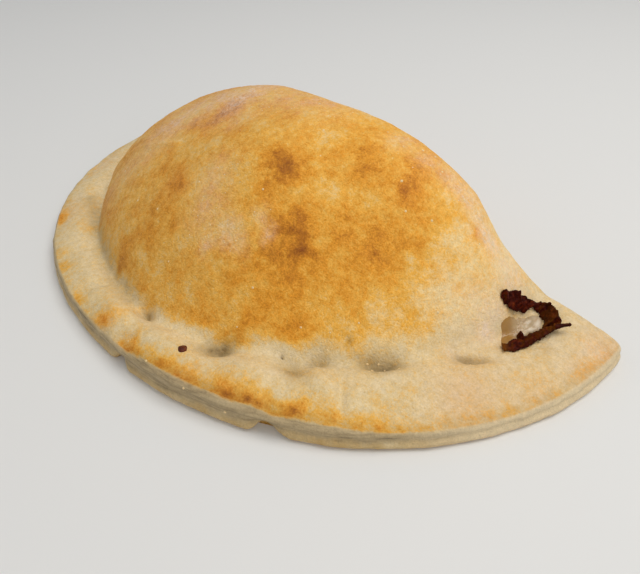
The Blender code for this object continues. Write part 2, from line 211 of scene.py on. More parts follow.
def makeFoodGrain():  # fine grain shared by the baked and fried surfaces: a tint value near 1 and a height
    tree = bpy.data.node_groups.new("foodGrain", "ShaderNodeTree")
    groupSockets(
        tree,
        [("Grain Size", "NodeSocketFloat", 900.0), ("Tint Strength", "NodeSocketFloat", 0.12)],
        [("Tint", "NodeSocketFloat"), ("Height", "NodeSocketFloat")],
    )
    start = nodeAdd(tree, "NodeGroupInput")
    end = nodeAdd(tree, "NodeGroupOutput")
    place = nodeAdd(tree, "ShaderNodeTexCoord").outputs["Object"]
    fine = nodeAdd(tree, "ShaderNodeTexNoise")
    fine.inputs["Detail"].default_value = 3.0
    fine.inputs["Roughness"].default_value = 0.7
    tree.links.new(place, fine.inputs["Vector"])
    tree.links.new(start.outputs["Grain Size"], fine.inputs["Scale"])
    coarse = nodeAdd(tree, "ShaderNodeTexNoise")
    coarse.inputs["Detail"].default_value = 2.0
    tree.links.new(place, coarse.inputs["Vector"])
    tree.links.new(mathNode(tree, "MULTIPLY", start.outputs["Grain Size"], 0.31), coarse.inputs["Scale"])
    both = weighedSum(tree, fine.outputs["Fac"], 0.6, coarse.outputs["Fac"], 0.4)
    swing = swingNode(tree, both, start.outputs["Tint Strength"])
    tree.links.new(mathNode(tree, "ADD", mathNode(tree, "MULTIPLY", swing, 4.0), 1.0), end.inputs["Tint"])
    tree.links.new(both, end.inputs["Height"])
    return tree


foodGrain = makeFoodGrain()


def grainGroup(tree, size, strength):
    made = nodeAdd(tree, "ShaderNodeGroup", node_tree=foodGrain)
    made.inputs["Grain Size"].default_value = size
    made.inputs["Tint Strength"].default_value = strength
    return made.outputs["Tint"], made.outputs["Height"]


def startMaterial(name, roughness, **sockets):
    material = bpy.data.materials.new(name)
    material.use_nodes = True
    tree = material.node_tree
    shader = tree.nodes["Principled BSDF"]
    shader.inputs["Roughness"].default_value = roughness
    for key, value in sockets.items():
        shader.inputs[key.replace("_", " ")].default_value = value
    return material, tree, shader


def colourInto(tree, shader, colour, tint):  # the colour, made lighter or darker by the tint
    made = nodeAdd(tree, "ShaderNodeVectorMath", operation="SCALE")
    tree.links.new(colour, made.inputs[0])
    tree.links.new(tint, made.inputs["Scale"])
    tree.links.new(made.outputs[0], shader.inputs["Base Color"])


def bumpInto(tree, shader, height, distance):
    bump = nodeAdd(tree, "ShaderNodeBump")
    bump.inputs["Strength"].default_value = 1.0
    bump.inputs["Distance"].default_value = distance
    tree.links.new(height, bump.inputs["Height"])
    tree.links.new(bump.outputs[0], shader.inputs["Normal"])


# the crust's form: the same plan, pocket and rim as the solid, with finer dough on it
crustForm = {
    "centre": (-0.004, 0.02),
    "halfLength": 0.16,
    "endY": 0.066,
    "rimReach": 0.1436,
    "foldReach": 0.0124,
    "rimPower": (2.15, 2.0),  # blunt end, tip
    "foldPower": (3.2, 4.6),
    "footReach": (0.1236, 0.1165),
    "footShift": (0.005, 0.075),
    "fillet": (0.0008, 0.0085),
    "filletX": (-0.09, 0.0),
    "filletY": (0.01, 0.05),
    "footHalf": (0.137, 0.125),
    "footHeight": 0.0115,
    "flangeLeast": 0.01,
    "crest": (0.012, 0.045),
    "crestRise": 0.0655,
    "crestCurve": ((1.95, 1.42), (2.9, 0.98)),
    "frontCurve": (2.15, 0.98),
    "foldCurve": (2.9, 1.77),
    "noseCurve": (1.8, 1.2),
    "noseSpan": (0.08, 0.102),
    "endSharpness": (1.0, 10.0),
    "waves": [(61.0, 73.0, 0.3), (61.0, -73.0, 1.1), (118.0, -54.0, 1.9)],
    "waveHeight": 0.00035,
    "rimThick": (0.0085, 0.0105, 0.0085),  # blunt end, front, tip
    "thinning": ((0.03, 0.15), (0.06, 0.158)),
    "rimCrown": 0.0022,
    "crownWidth": 0.016,
    "crownPower": 1.25,
    "lobe": (0.043, 0.033, 0.0024),
    "lipRound": 0.0036,
    "rimSide": [  # outward, less shares of the lip and the notch; down, shares of thickness and notch lift
        (0.0, 0.4, 0.0, 0.0008, 1.0, 0.0), (0.0, 0.1, 0.0, 0.0026, 1.0, 0.0),
        (-0.0005, 0.0, 0.45, 0.0, 0.55, 0.0), (0.0007, 0.0, 0.85, 0.0, 0.3, 0.5),
        (0.0002, 0.0, 1.0, 0.0, 0.1, 0.9), (-0.0024, 0.0, 1.0, 0.0, 0.0, 1.0),
    ],
    "baseInset": 0.0024,
    "baseRings": (0.975, 0.92, 0.45),
    "foldTuck": 0.008,
    "foldStart": (-0.01, 0.008),
    "foldEnds": ((0.115, 0.157), (0.085, 0.155)),
    "notches": [(0.008, 0.0048, 0.0085, 0.005, 0.0036), (0.08, 0.0072, 0.009, 0.0054, 0.0042)],
    "dents": [
        (0.0005, -0.057, 0.0056, 0.0034, 0.0038, 5.0), (0.0416, -0.0488, 0.0068, 0.0042, 0.0036, 50.0),
        (0.0705, -0.035, 0.006, 0.0042, 0.0028, -5.0), (0.0755, -0.0252, 0.0056, 0.0034, 0.0028, 48.0),
        (0.0943, -0.0087, 0.0098, 0.003, 0.0044, 40.0), (0.1205, 0.0192, 0.0082, 0.0026, 0.0032, 50.0),
        (-0.033, -0.0515, 0.013, 0.0046, 0.0022, -14.0), (-0.088, -0.0305, 0.015, 0.0045, 0.002, -38.0),
        (-0.033, -0.064, 0.004, 0.008, 0.0014, -14.0), (-0.064, -0.054, 0.004, 0.008, 0.0012, -26.0),
        (0.095, -0.032, 0.009, 0.0024, 0.001, -47.0), (0.008, -0.074, 0.005, 0.006, 0.0016, 0.0),
        (0.08, -0.056, 0.005, 0.006, 0.0014, 20.0),
    ],
    "rolls": [
        (-0.0092, -0.066, 0.0095, 0.0078, 0.0028, -5.0), (0.021, -0.061, 0.0095, 0.0078, 0.0018, 8.0),
        (0.059, -0.048, 0.0085, 0.0085, 0.002, 26.0), (0.084, -0.033, 0.0075, 0.0046, 0.0018, -47.0),
        (0.091, -0.034, 0.0095, 0.0026, 0.0008, -47.0), (0.11, 0.0, 0.01, 0.008, 0.0012, 45.0),
        (0.11, 0.066, 0.022, 0.011, 0.004, -8.0),
    ],
    "vent": (0.126, 0.047, 0.013, 0.0085, 75.0),
    "ventDepth": 0.0022,
    "sides": 720,
    "finerFront": 0.9,
    "finerSpan": (0.03, 0.06),
    "domeRings": 84,
    "domeSpacing": 0.92,
    "rimRings": 26,
    "foldSpacing": 0.9,
    "sideSteps": 3,
}

# fine creases and bubbles that only the finished skin has: x, y, half length, half width, depth, turn
skinDetail = {
    "creases": [
        (0.0955, -0.0325, 0.009, 0.0012, 0.0006, -47.0), (0.0942, -0.0086, 0.008, 0.001, 0.0012, 40.0),
        (0.116, 0.0158, 0.0028, 0.0008, 0.0007, 32.0), (0.1196, 0.0182, 0.0034, 0.0008, 0.0009, 42.0),
        (0.1226, 0.0218, 0.0032, 0.0008, 0.0008, 60.0), (0.042, -0.0488, 0.005, 0.0014, 0.0008, 46.0),
        (0.0008, -0.057, 0.0036, 0.0014, 0.001, 5.0), (0.0758, -0.0262, 0.0036, 0.001, 0.0008, 55.0),
        (-0.029, -0.06, 0.006, 0.0009, 0.0005, 62.0), (-0.048, -0.058, 0.005, 0.0009, 0.0004, 72.0),
        (-0.07, -0.05, 0.006, 0.001, 0.0004, 58.0), (-0.096, -0.033, 0.006, 0.001, 0.0004, 38.0),
        (-0.108, -0.016, 0.005, 0.0009, 0.0003, 25.0),
    ],
    "bubbles": [
        (0.0636, -0.0335, 0.001, -0.0008), (0.0647, -0.0345, 0.0016, 0.0003), (0.0707, -0.0392, 0.0011, 0.0007),
        (0.078, -0.0284, 0.0013, 0.0008), (0.1008, -0.0144, 0.0011, 0.0006), (0.0985, -0.0165, 0.0009, 0.0004),
        (0.029, -0.047, 0.001, 0.0004), (0.056, -0.0395, 0.001, 0.0004),
    ],
    "ridge": [(-0.1081, -0.0107), (-0.0935, -0.0048), (-0.0425, -0.0017)],
    "ridgeSize": (0.0016, 0.0007),
    "swell": (0.022, 0.0004),
    "pucker": (0.0065, 0.00016),
    "skin": (0.0028, 0.00007),
    "layerLines": (0.00085, 0.00022),
}


def pick(pair, x):
    return np.where(x > 0.0, pair[1], pair[0])


def outlineLevel(x, y):
    form = crustForm
    along = np.abs(x) / form["halfLength"]
    fold = pick(form["foldPower"], x)
    rim = pick(form["rimPower"], x)
    behind = along ** fold + (np.maximum(y - form["endY"], 0.0) / form["foldReach"]) ** fold
    before = along ** rim + (np.maximum(form["endY"] - y, 0.0) / form["rimReach"]) ** rim
    return np.where(y > form["endY"], behind, before)


def footLevel(x, y):
    form = crustForm
    along = np.abs(x) / pick(form["footHalf"], x)
    front = mixed(form["footReach"][0], form["footReach"][1], ease(*form["footShift"], x))
    reach = np.where(y < form["endY"], front, form["foldReach"])
    return along ** 2 + ((form["endY"] - y) / reach) ** 2


def reachAlong(level, angle, start):
    near = np.zeros_like(angle)
    far = np.full_like(angle, 2.0 * crustForm["halfLength"])
    for step in range(32):
        middle = 0.5 * (near + far)
        inside = level(start[0] + middle * np.cos(angle), start[1] + middle * np.sin(angle)) < 1.0
        near = np.where(inside, middle, near)
        far = np.where(inside, far, middle)
    return near


def evenAngles(count):
    angles = np.linspace(0.0, 2.0 * math.pi, 12 * count + 1)
    reach = reachAlong(outlineLevel, angles, crustForm["centre"])
    x = reach * np.cos(angles)
    y = reach * np.sin(angles)
    finer = 1.0 + crustForm["finerFront"] * (1.0 - ease(*crustForm["finerSpan"], y[1:]))
    walked = np.concatenate(([0.0], np.cumsum(np.hypot(np.diff(x), np.diff(y)) * finer)))
    return np.interp(walked[-1] * np.arange(count) / count, walked, angles)


def foldLine(x):
    form = crustForm
    share = np.minimum(1.0, np.abs(x) / form["halfLength"])
    power = pick(form["foldPower"], x)
    return form["endY"] + form["foldReach"] * (1.0 - share ** power) ** (1.0 / power)


def pocketRise(x, y):
    form = crustForm
    crestX, crestY = form["crest"]
    ahead = x - crestX
    aside = y - crestY
    curve = np.array(form["crestCurve"])[(ahead > 0.0).astype(int)]
    endPower, endRoot = np.moveaxis(curve, -1, 0)
    # behind the crest
    along = np.where(ahead > 0.0, 0.0, math.pi)
    shareBack = np.abs(ahead) / reachAlong(footLevel, along, form["crest"])
    back = np.clip(aside / np.maximum(0.001, foldLine(x) - crestY), 0.0, 1.0)
    nose = ease(*form["noseSpan"], x)
    backPower = mixed(form["foldCurve"][0], form["noseCurve"][0], nose)
    backRoot = mixed(form["foldCurve"][1], form["noseCurve"][1], nose)
    behind = arch(shareBack, endPower, endRoot) * arch(back, backPower, backRoot)
    # in front of it
    direction = np.arctan2(aside, ahead)
    share = np.hypot(aside, ahead) / reachAlong(footLevel, direction, form["crest"])
    blunt, tip = form["endSharpness"]
    turned = np.abs(np.cos(direction)) ** np.where(ahead > 0.0, tip, blunt)
    frontPower, frontRoot = form["frontCurve"]
    front = arch(share, mixed(frontPower, endPower, turned), mixed(frontRoot, endRoot, turned))
    rise = form["crestRise"] * np.where(aside > 0.0, behind, front)
    # the hollow in which the skin runs into the rim
    soft = ease(*form["filletX"], x) * (1.0 - ease(*form["filletY"], y))
    fillet = mixed(form["fillet"][0], form["fillet"][1], soft)
    return np.hypot(rise, fillet) - fillet * (1.0 - rise / form["crestRise"])


def slowRelief(x, y):
    form = crustForm
    height = -form["ventDepth"] * hill(x, y, form["vent"])
    height = withHills(height, x, y, form["dents"], -1.0)
    height = withHills(height, x, y, form["rolls"])
    for turnsX, turnsY, phase in form["waves"]:
        height = height + form["waveHeight"] * np.sin(turnsX * x + turnsY * y + phase)
    return height


def rimThickness(x):
    blunt, front, tip = crustForm["rimThick"]
    ends = crustForm["thinning"]
    middle, halfSpan, extra = crustForm["lobe"]
    plain = np.where(x > 0.0, mixed(front, tip, ease(*ends[1], x)), mixed(front, blunt, ease(*ends[0], -x)))
    return plain + extra * np.exp(-((x - middle) / halfSpan) ** 2)


def foldShare(x, y):
    form = crustForm
    back = ease(form["endY"] + form["foldStart"][0], form["endY"] + form["foldStart"][1], y)
    return back * (1.0 - ease(*form["foldEnds"][1], x)) * (1.0 - ease(*form["foldEnds"][0], -x))


def notchShare(x, y):
    depth = np.zeros_like(x)
    lift = np.zeros_like(x)
    for place, before, after, most, rise in crustForm["notches"]:
        away = np.where(x < place, (place - x) / before, (x - place) / after)
        share = np.maximum(0.0, 1.0 - away) ** 1.4 * (y < 0.02)
        depth += most * share
        lift += rise * share
    return depth, lift


def lineDistance(x, y, stops):  # distance in plan to a broken line
    best = np.full_like(x, 1.0)
    for (ax, ay), (bx, by) in zip(stops, stops[1:]):
        length = math.hypot(bx - ax, by - ay)
        share = np.clip(((x - ax) * (bx - ax) + (y - ay) * (by - ay)) / length ** 2, 0.0, 1.0)
        best = np.minimum(best, np.hypot(x - ax - share * (bx - ax), y - ay - share * (by - ay)))
    return best


def fineRelief(x, y):
    wide, high = skinDetail["ridgeSize"]
    height = high * np.exp(-(lineDistance(x, y, skinDetail["ridge"]) / wide) ** 2)
    height = withHills(height, x, y, skinDetail["creases"], -1.0)
    bubbles = [(px, py, radius, radius, rise, 0.0) for px, py, radius, rise in skinDetail["bubbles"]]
    return withHills(height, x, y, bubbles)


def crustRings():
    form = crustForm
    centreX, centreY = form["centre"]
    angle = evenAngles(form["sides"])
    cosine, sine = np.cos(angle), np.sin(angle)
    reach = reachAlong(outlineLevel, angle, form["centre"])
    foot = np.minimum(reachAlong(footLevel, angle, form["centre"]), reach - form["flangeLeast"])
    edgeX, edgeY = centreX + reach * cosine, centreY + reach * sine
    top = rimThickness(edgeX)
    fold = foldShare(edgeX, edgeY)
    lip = form["lipRound"]
    wide = mixed(reach - lip, reach, fold) - foot
    crown = form["rimCrown"] * np.minimum(1.0, wide / form["crownWidth"]) * (1.0 - fold)
    upper = form["domeRings"] + form["rimRings"]
    step = np.arange(upper + 1)[:, None]
    inner = foot * np.minimum(1.0, step / form["domeRings"]) ** form["domeSpacing"]
    outer = foot + (reach - lip - foot) * (step - form["domeRings"]) / form["rimRings"]
    plain = np.where(step <= form["domeRings"], inner, outer)
    distance = mixed(plain, reach * np.sin(0.5 * math.pi * step / upper) ** form["foldSpacing"], fold)
    x, y = centreX + distance * cosine, centreY + distance * sine
    outward = np.clip((distance - foot) / wide, 0.0, 1.0)
    bulge = crown * np.maximum(0.0, np.sin(math.pi * outward)) ** form["crownPower"]
    height = mixed(form["footHeight"], top, outward) + bulge
    settled = 1.0 - 0.8 * fold * ease(0.75, 1.0, step / upper)
    z = height + pocketRise(x, y) + (slowRelief(x, y) + fineRelief(x, y)) * settled
    depth, lift = notchShare(edgeX, edgeY)
    stops = [(distance[-2], z[-2]), (distance[-1], z[-1])]
    for k, (shift, lipPart, notchPart, drop, topPart, liftPart) in enumerate(form["rimSide"], 1):
        rimOut = reach + shift - lipPart * lip - notchPart * depth
        rimUp = topPart * top - drop + liftPart * lift
        turn = 0.5 * math.pi * k / len(form["rimSide"])
        backOut = reach - form["foldTuck"] * (1.0 - math.cos(turn))
        stops.append((mixed(rimOut, backOut, fold), mixed(rimUp, top * (1.0 - math.sin(turn)), fold)))
    base = reach - mixed(form["baseInset"], form["foldTuck"], fold)
    stops.append((0.92 * base, 0.0 * base))
    rings = [np.stack([x[k], y[k], z[k]], axis=1) for k in range(1, upper + 1)]
    sideShare = [np.zeros(form["sides"]) for ring in rings]

    def addRing(out, up, share):
        rings.append(np.stack([centreX + out * cosine, centreY + out * sine, up], axis=1))
        sideShare.append(share * (1.0 - fold))

    for k in range(1, len(stops) - 2):
        for part in range(1, form["sideSteps"] + 1):
            t = part / form["sideSteps"]
            out, up = (smoothBetween(*(stops[k + j][axis] for j in (-1, 0, 1, 2)), t) for axis in (0, 1))
            addRing(out, np.maximum(up, 0.0), np.full(form["sides"], min(1.0, (k - 1 + t) / 2.2)))
    for share in form["baseRings"]:
        addRing(share * base, 0.0 * base, np.ones(form["sides"]))
    return (centreX, centreY, float(z[0, 0])), rings, sideShare


def closedSkin(topPoint, rings, bottomPoint):
    sides = len(rings[0])
    points = np.concatenate([[topPoint]] + rings + [[bottomPoint]])
    last = len(points) - 1
    here = np.arange(sides)
    after = (here + 1) % sides
    faces = [(0, 1 + i, 1 + (i + 1) % sides) for i in range(sides)]
    for k in range(len(rings) - 1):
        a = 1 + k * sides
        faces += np.stack([a + here, a + sides + here, a + sides + after, a + after], axis=1).tolist()
    low = last - sides
    faces += [(low + (i + 1) % sides, low + i, last) for i in range(sides)]
    return points, faces


def makeCrust(material):
    topPoint, rings, sideShare = crustRings()
    centreX, centreY = crustForm["centre"]
    points, faces = closedSkin(topPoint, rings, (centreX, centreY, 0.0))
    crust = newPiece("crustSkin", points.tolist(), faces, material)
    side = np.concatenate([[0.0]] + sideShare + [[1.0]])
    normals = normalArray(crust.data)
    # the dough's small unevenness, pushed out along the skin; the base stays flat
    swell = grainField(points, skinDetail["swell"][0], 1) * skinDetail["swell"][1]
    pucker = grainField(points, skinDetail["pucker"][0], 2) * skinDetail["pucker"][1]
    skin = grainField(points, skinDetail["skin"][0], 3, 3) * skinDetail["skin"][1]
    lineSize, lineDepth = skinDetail["layerLines"]
    stretched = points * np.array([0.1, 0.1, 1.0])
    layers = grainField(stretched, lineSize, 4) * lineDepth * ease(0.25, 0.7, side)
    push = (swell + pucker + skin + layers) * ease(0.0, 0.0015, points[:, 2])
    points = points + normals * push[:, None]
    points[:, 2] = np.maximum(points[:, 2], 0.0)
    crust.data.vertices.foreach_set("co", points.ravel())
    crust.data.update()
    return crust, points, side


# where the skin browned, stayed pale or kept its flour, with grease and the steak's painted shadow beside it,
# and painted shade in pin holes: x, y, radius, strength
bakeMarks = {
    "brown": [
        (0.0238, 0.008, 0.007, 0.36), (0.03, 0.012, 0.005, 0.14), (0.0455, -0.007, 0.0085, 0.3),
        (0.048, -0.015, 0.008, 0.18), (0.04, -0.019, 0.005, 0.12), (0.032, -0.023, 0.0045, 0.12),
        (0.0575, -0.0065, 0.0055, 0.12), (0.0512, 0.0262, 0.0055, 0.22), (0.0707, 0.0338, 0.0048, 0.24),
        (0.0952, 0.048, 0.004, 0.3), (0.0668, 0.0443, 0.006, 0.14), (0.0725, 0.0114, 0.0055, 0.15),
        (0.0804, 0.0146, 0.005, 0.13), (0.0862, 0.026, 0.0045, 0.12), (0.0616, 0.0055, 0.0055, 0.1),
        (-0.021, -0.0168, 0.007, 0.15), (-0.036, 0.016, 0.0085, 0.2), (-0.033, 0.023, 0.006, 0.12),
        (-0.03, -0.04, 0.013, 0.09), (0.042, 0.019, 0.006, 0.1), (0.076, -0.0097, 0.005, 0.12),
        (0.056, -0.033, 0.006, 0.1), (0.0193, -0.029, 0.005, 0.08), (-0.038, 0.008, 0.006, 0.12),
        (0.0234, 0.0006, 0.005, 0.1), (0.068, -0.022, 0.006, 0.1), (0.005, 0.03, 0.006, 0.1),
        (0.048, -0.04, 0.008, 0.16), (0.033, -0.045, 0.007, 0.12), (0.062, -0.031, 0.007, 0.12),
    ],
    "flour": [
        (0.099, 0.055, 0.0045, 0.7), (0.093, 0.052, 0.0035, 0.6), (0.053, 0.0487, 0.006, 0.55),
        (0.0666, 0.0495, 0.005, 0.45), (0.0193, -0.0205, 0.005, 0.6), (0.0351, -0.0122, 0.0028, 0.55),
        (0.0287, -0.0094, 0.003, 0.4), (0.0134, -0.0284, 0.0032, 0.42), (0.0274, -0.0214, 0.004, 0.28),
        (0.0053, -0.0219, 0.008, 0.26), (-0.0014, -0.0094, 0.009, 0.34), (-0.016, 0.0182, 0.008, 0.18),
        (-0.0392, 0.031, 0.016, 0.44), (-0.0616, 0.028, 0.018, 0.42), (-0.0305, 0.0467, 0.02, 0.5),
        (-0.0655, 0.0107, 0.014, 0.36), (-0.0602, -0.0062, 0.012, 0.26), (-0.0711, -0.0206, 0.011, 0.2),
        (0.0783, 0.056, 0.008, 0.5), (0.088, 0.056, 0.006, 0.45), (0.1075, 0.0562, 0.009, 0.45),
        (0.114, 0.0564, 0.008, 0.4), (0.1019, 0.0247, 0.008, 0.24), (0.112, 0.027, 0.007, 0.28),
        (0.113, 0.014, 0.004, 0.4), (0.108, 0.0339, 0.0045, 0.36), (0.005, 0.052, 0.018, 0.35),
        (-0.14, 0.001, 0.012, 0.25), (0.156, 0.06, 0.01, 0.4), (0.118, 0.0335, 0.0055, 0.6),
        (0.1131, 0.0424, 0.005, 0.45), (0.115, 0.038, 0.005, 0.35),
    ],
    "rimBrown": [
        (-0.0075, -0.0728, 0.006, 0.3), (0.011, -0.074, 0.006, 0.3), (0.02, -0.073, 0.0055, 0.26),
        (0.03, -0.071, 0.006, 0.22), (0.043, -0.0675, 0.0065, 0.32), (0.059, -0.0602, 0.0075, 0.34),
        (0.069, -0.058, 0.006, 0.28), (0.076, -0.0552, 0.006, 0.36), (0.0865, -0.049, 0.0055, 0.32),
        (0.085, -0.0441, 0.0042, 0.18), (0.092, -0.0405, 0.0045, 0.22), (0.0993, -0.0402, 0.0055, 0.22),
        (0.108, -0.035, 0.006, 0.16), (0.114, -0.0285, 0.0065, 0.16), (0.124, -0.02, 0.0065, 0.1),
        (0.1336, -0.0034, 0.008, 0.08), (0.145, 0.012, 0.008, 0.06), (0.1537, 0.0284, 0.0085, 0.08),
        (0.1565, 0.0469, 0.0085, 0.1), (0.1565, 0.064, 0.007, 0.06), (-0.1049, -0.0434, 0.009, 0.18),
        (-0.1416, 0.0008, 0.012, 0.02), (-0.06, -0.069, 0.009, 0.16), (-0.03, -0.074, 0.008, 0.16),
    ],
    "rose": [
        (0.1569, 0.0642, 0.011, 0.5), (0.1555, 0.045, 0.009, 0.45), (0.148, 0.023, 0.011, 0.35),
        (-0.0077, -0.0733, 0.006, 0.7), (0.011, -0.0735, 0.006, 0.4), (-0.1049, -0.0434, 0.012, 0.45),
        (-0.1416, 0.0008, 0.015, 0.2), (0.059, -0.0605, 0.006, 0.3), (0.132, -0.002, 0.014, 0.35),
        (0.044, -0.067, 0.006, 0.4), (0.125, 0.008, 0.014, 0.25), (0.0952, 0.048, 0.0045, 0.6),
        (-0.033, 0.02, 0.012, 0.45), (-0.021, -0.0168, 0.008, 0.35), (0.0707, 0.0338, 0.005, 0.25),
    ],
    # grease soaked into the dough beside the steak, and the steak's painted shadow
    "greaseAndShadow": [(0.1255, 0.0325, 0.0028, 0.3), (0.1375, 0.044, 0.0035, 0.24)],
    # painted shade in pin holes and at the bottom of the first dent
    "holeShade": [
        (0.0636, -0.0335, 0.0006, 1.0), (0.081, -0.0121, 0.0014, 0.45), (0.0008, -0.0562, 0.0012, 0.35),
    ],
}

# painted shade and shadow in the dents and under the dome where it bulges over them: x, y, half length, half
# width, strength, turn
dentShades = [
    (0.0004, -0.0566, 0.0036, 0.002, 0.7, 5.0), (-0.005, -0.0545, 0.006, 0.003, 0.2, -20.0),
    (0.0407, -0.0478, 0.007, 0.0028, 1.15, 48.0), (0.039, -0.051, 0.0075, 0.0045, 0.36, 40.0),
    (0.072, -0.0362, 0.0075, 0.0044, 0.8, -12.0), (0.0757, -0.0256, 0.006, 0.0036, 0.66, 48.0),
    (0.0942, -0.0088, 0.008, 0.0022, 1.3, 40.0), (0.0968, -0.0115, 0.0075, 0.0034, 0.55, 40.0),
    (0.118, 0.0172, 0.006, 0.0018, 0.9, 42.0), (0.1195, 0.016, 0.006, 0.0028, 0.26, 42.0),
    (0.1228, 0.0225, 0.003, 0.0011, 0.45, 60.0), (0.0855, -0.02, 0.006, 0.004, 0.24, 45.0),
]
footShade = {
    "line": [(-0.103, -0.026), (-0.085, -0.034), (-0.052, -0.047), (-0.027, -0.0545), (-0.01, -0.0565)],
    "width": 0.004,
    "strength": 0.55,
}

# how the skin is coloured: spans run along x, along the rise or out to the edge, strengths are shares of brown
paintForm = {
    "noise": [(0.03, 11), (0.011, 12, 3), (0.0045, 15, 3), (0.01, 13, 3), (0.01, 14, 3)],  # size, seed, octaves
    "ragged": 0.0022,  # how far the marks' outlines wander
    "tipPart": (0.05, 0.09),
    "domeFoot": (0.09, 0.2),  # the rise that has the dome's full colour: elsewhere, in the tip part
    "footPale": (0.4, 0.05, 0.12),
    "nose": (0.08, 0.106, 0.15, 0.02),
    "nosePale": 0.26,
    "foldColour": 0.9,
    "dough": 0.13,
    "baked": (0.33, 0.05, 0.07),  # even, broad, patchy
    "markSwing": (0.95, 0.3, 0.15),  # even, patchy, finer
    "lobe": (0.06, 0.048),
    "lipEdge": (0.9885, 0.976),  # share of the outline where the bare side starts: elsewhere, at the lobe
    "lipSwing": (0.003, 0.0016),
    "bareSide": (0.3, 0.55),
    "bareSpan": 0.007,
    "bareUntil": 0.06,
    "band": (-0.05, -0.008),
    # the span of painted shade along the lip's top edge
    "lipShadeBand": (-0.036, -0.006),
    "bandBrown": (0.06, 0.12, 0.1, 0.06),  # even, at the lobe, patchy, finer
    "rimSwing": (0.9, 0.3),
    "allOver": (0.05, 0.03, 0.03),  # patchy, broad, finer
    "underside": (0.52, 0.12, 0.08),  # even, broad, patchy
    "flourSwing": (0.8, 0.5, 0.3),
    "lowSide": (0.0068, 0.003, 0.001),
    # the span over which the rim's side gets painted light towards the tip
    "litTipSide": (0.116, 0.142),
    "tipRose": (0.1, 0.13, 0.12),
    # where the dome takes the warm ramp; elsewhere the cooler ramp is also darker as painted shade
    "warm": (-0.02, 0.06, 0.4),
    "warmEnd": (0.095, 0.13, 0.6),
}


def markField(name, x, y):
    field = np.zeros_like(x)
    for px, py, radius, strength in bakeMarks[name]:
        field += strength * np.exp(-(np.hypot(x - px, y - py) / radius) ** 2)
    return field


# painted shade along the dome's foot and in the dents
def dentShadeField(x, y):
    nearness = np.exp(-(lineDistance(x, y, footShade["line"]) / footShade["width"]) ** 2)
    return withHills(footShade["strength"] * nearness, x, y, dentShades)


def swung(strengths, *fields):  # an even strength and its swings by some fields of noise
    total = strengths[0]
    for strength, field in zip(strengths[1:], fields):
        total = total + strength * field
    return total


def paintCrust(crust, points, side):
    form = paintForm
    x, y, z = points.T
    rise = pocketRise(x, y) / crustForm["crestRise"]
    broad, patchy, finer, wanderX, wanderY = (grainField(points, *row) for row in form["noise"])
    warpX, warpY = x + form["ragged"] * wanderX, y + form["ragged"] * wanderY
    edge = np.sqrt(np.clip(outlineLevel(x, y), 0.0, 2.0))
    tipPart = ease(*form["tipPart"], x)
    dome = ease(0.0, mixed(*form["domeFoot"], tipPart), rise + 0.02 * patchy)
    noseStart, noseEnd, slant, slantY = form["nose"]
    nose = ease(noseStart, noseEnd, x + slant * (y - slantY))
    fold = foldShare(x, y)
    dome = np.maximum(dome, form["foldColour"] * fold)
    brown = form["dough"] + dome * swung(form["baked"], broad, patchy)
    brown += markField("brown", warpX, warpY) * dome * swung(form["markSwing"], patchy, finer)
    paleFrom, paleTo, pale = form["footPale"]
    footPale = pale * dome * ease(paleFrom, paleTo, rise) * tipPart * (1.0 - nose)
    brown -= form["nosePale"] * nose * dome + footPale
    # the bare side of the rim starts at the lip, further in along the thick front lobe
    lobe = np.exp(-((x - form["lobe"][0]) / form["lobe"][1]) ** 2)
    sideStart = swung((mixed(*form["lipEdge"], lobe),) + form["lipSwing"], patchy, finer)
    beyond = edge - sideStart
    outer = ease(0.0, form["bareSpan"], beyond) * (y < form["bareUntil"]) * (1.0 - dome)
    bare = np.maximum(ease(*form["bareSide"], side), outer) * (1.0 - fold)
    # a browned band runs along the rim's outer top edge above it
    band = ease(*form["band"], beyond) * (1.0 - bare) * (1.0 - dome)
    brown += swung(form["bandBrown"], lobe, patchy, finer) * band
    brown += markField("rimBrown", warpX, warpY) * swung(form["rimSwing"], finer) * (1.0 - bare)
    brown += swung((0.0,) + form["allOver"], patchy, broad, finer)
    # the underside baked on a hot surface
    under = ease(0.0012, 0.0, z) * (side > 0.9)
    lowFrom, lowTo, lowSwing = form["lowSide"]
    roseFrom, roseTo, rose = form["tipRose"]
    warmFrom, warmTo, warmSlant = form["warm"]
    coolFrom, coolTo, cool = form["warmEnd"]
    warm = ease(warmFrom, warmTo, x + warmSlant * y) * (1.0 - cool * ease(coolFrom, coolTo, x))
    masks = {
        "brown": mixed(brown, swung(form["underside"], broad, patchy), under),
        "flour": markField("flour", warpX, warpY) * swung(form["flourSwing"], patchy, finer),
        "side": bare * (1.0 - under),
        "lowSide": ease(lowFrom, lowTo, z + lowSwing * patchy) * ease(0.3, 0.6, side) * (1.0 - fold),
        # painted light on the rim's side towards the tip
        "litTipSide": ease(*form["litTipSide"], x),
        # painted shade in the dents and along the dome's foot
        "paintedShade": dentShadeField(x + 0.3 * (warpX - x), y + 0.3 * (warpY - y)) * (1.0 + 0.25 * finer),
        # painted shade along the lip, above the rim's bare side
        "lip": band * ease(*form["lipShadeBand"], beyond) * (0.35 + 0.65 * lobe),
        "rose": markField("rose", warpX, warpY) + rose * ease(roseFrom, roseTo, x) * (1.0 - dome),
        # grease beside the steak and the steak's painted shadow
        "greaseAndShadow": markField("greaseAndShadow", x, y),
        # painted shade in pin holes and at the bottom of the first dent
        "holeShade": markField("holeShade", x, y),
        # warm share; where it is low, the cooler and darker ramp stands partly for painted shade on the dome's
        # blunt end
        "warm": warm * dome + 0.25 * patchy,
    }
    for name, values in masks.items():
        addMask(crust, name, values)


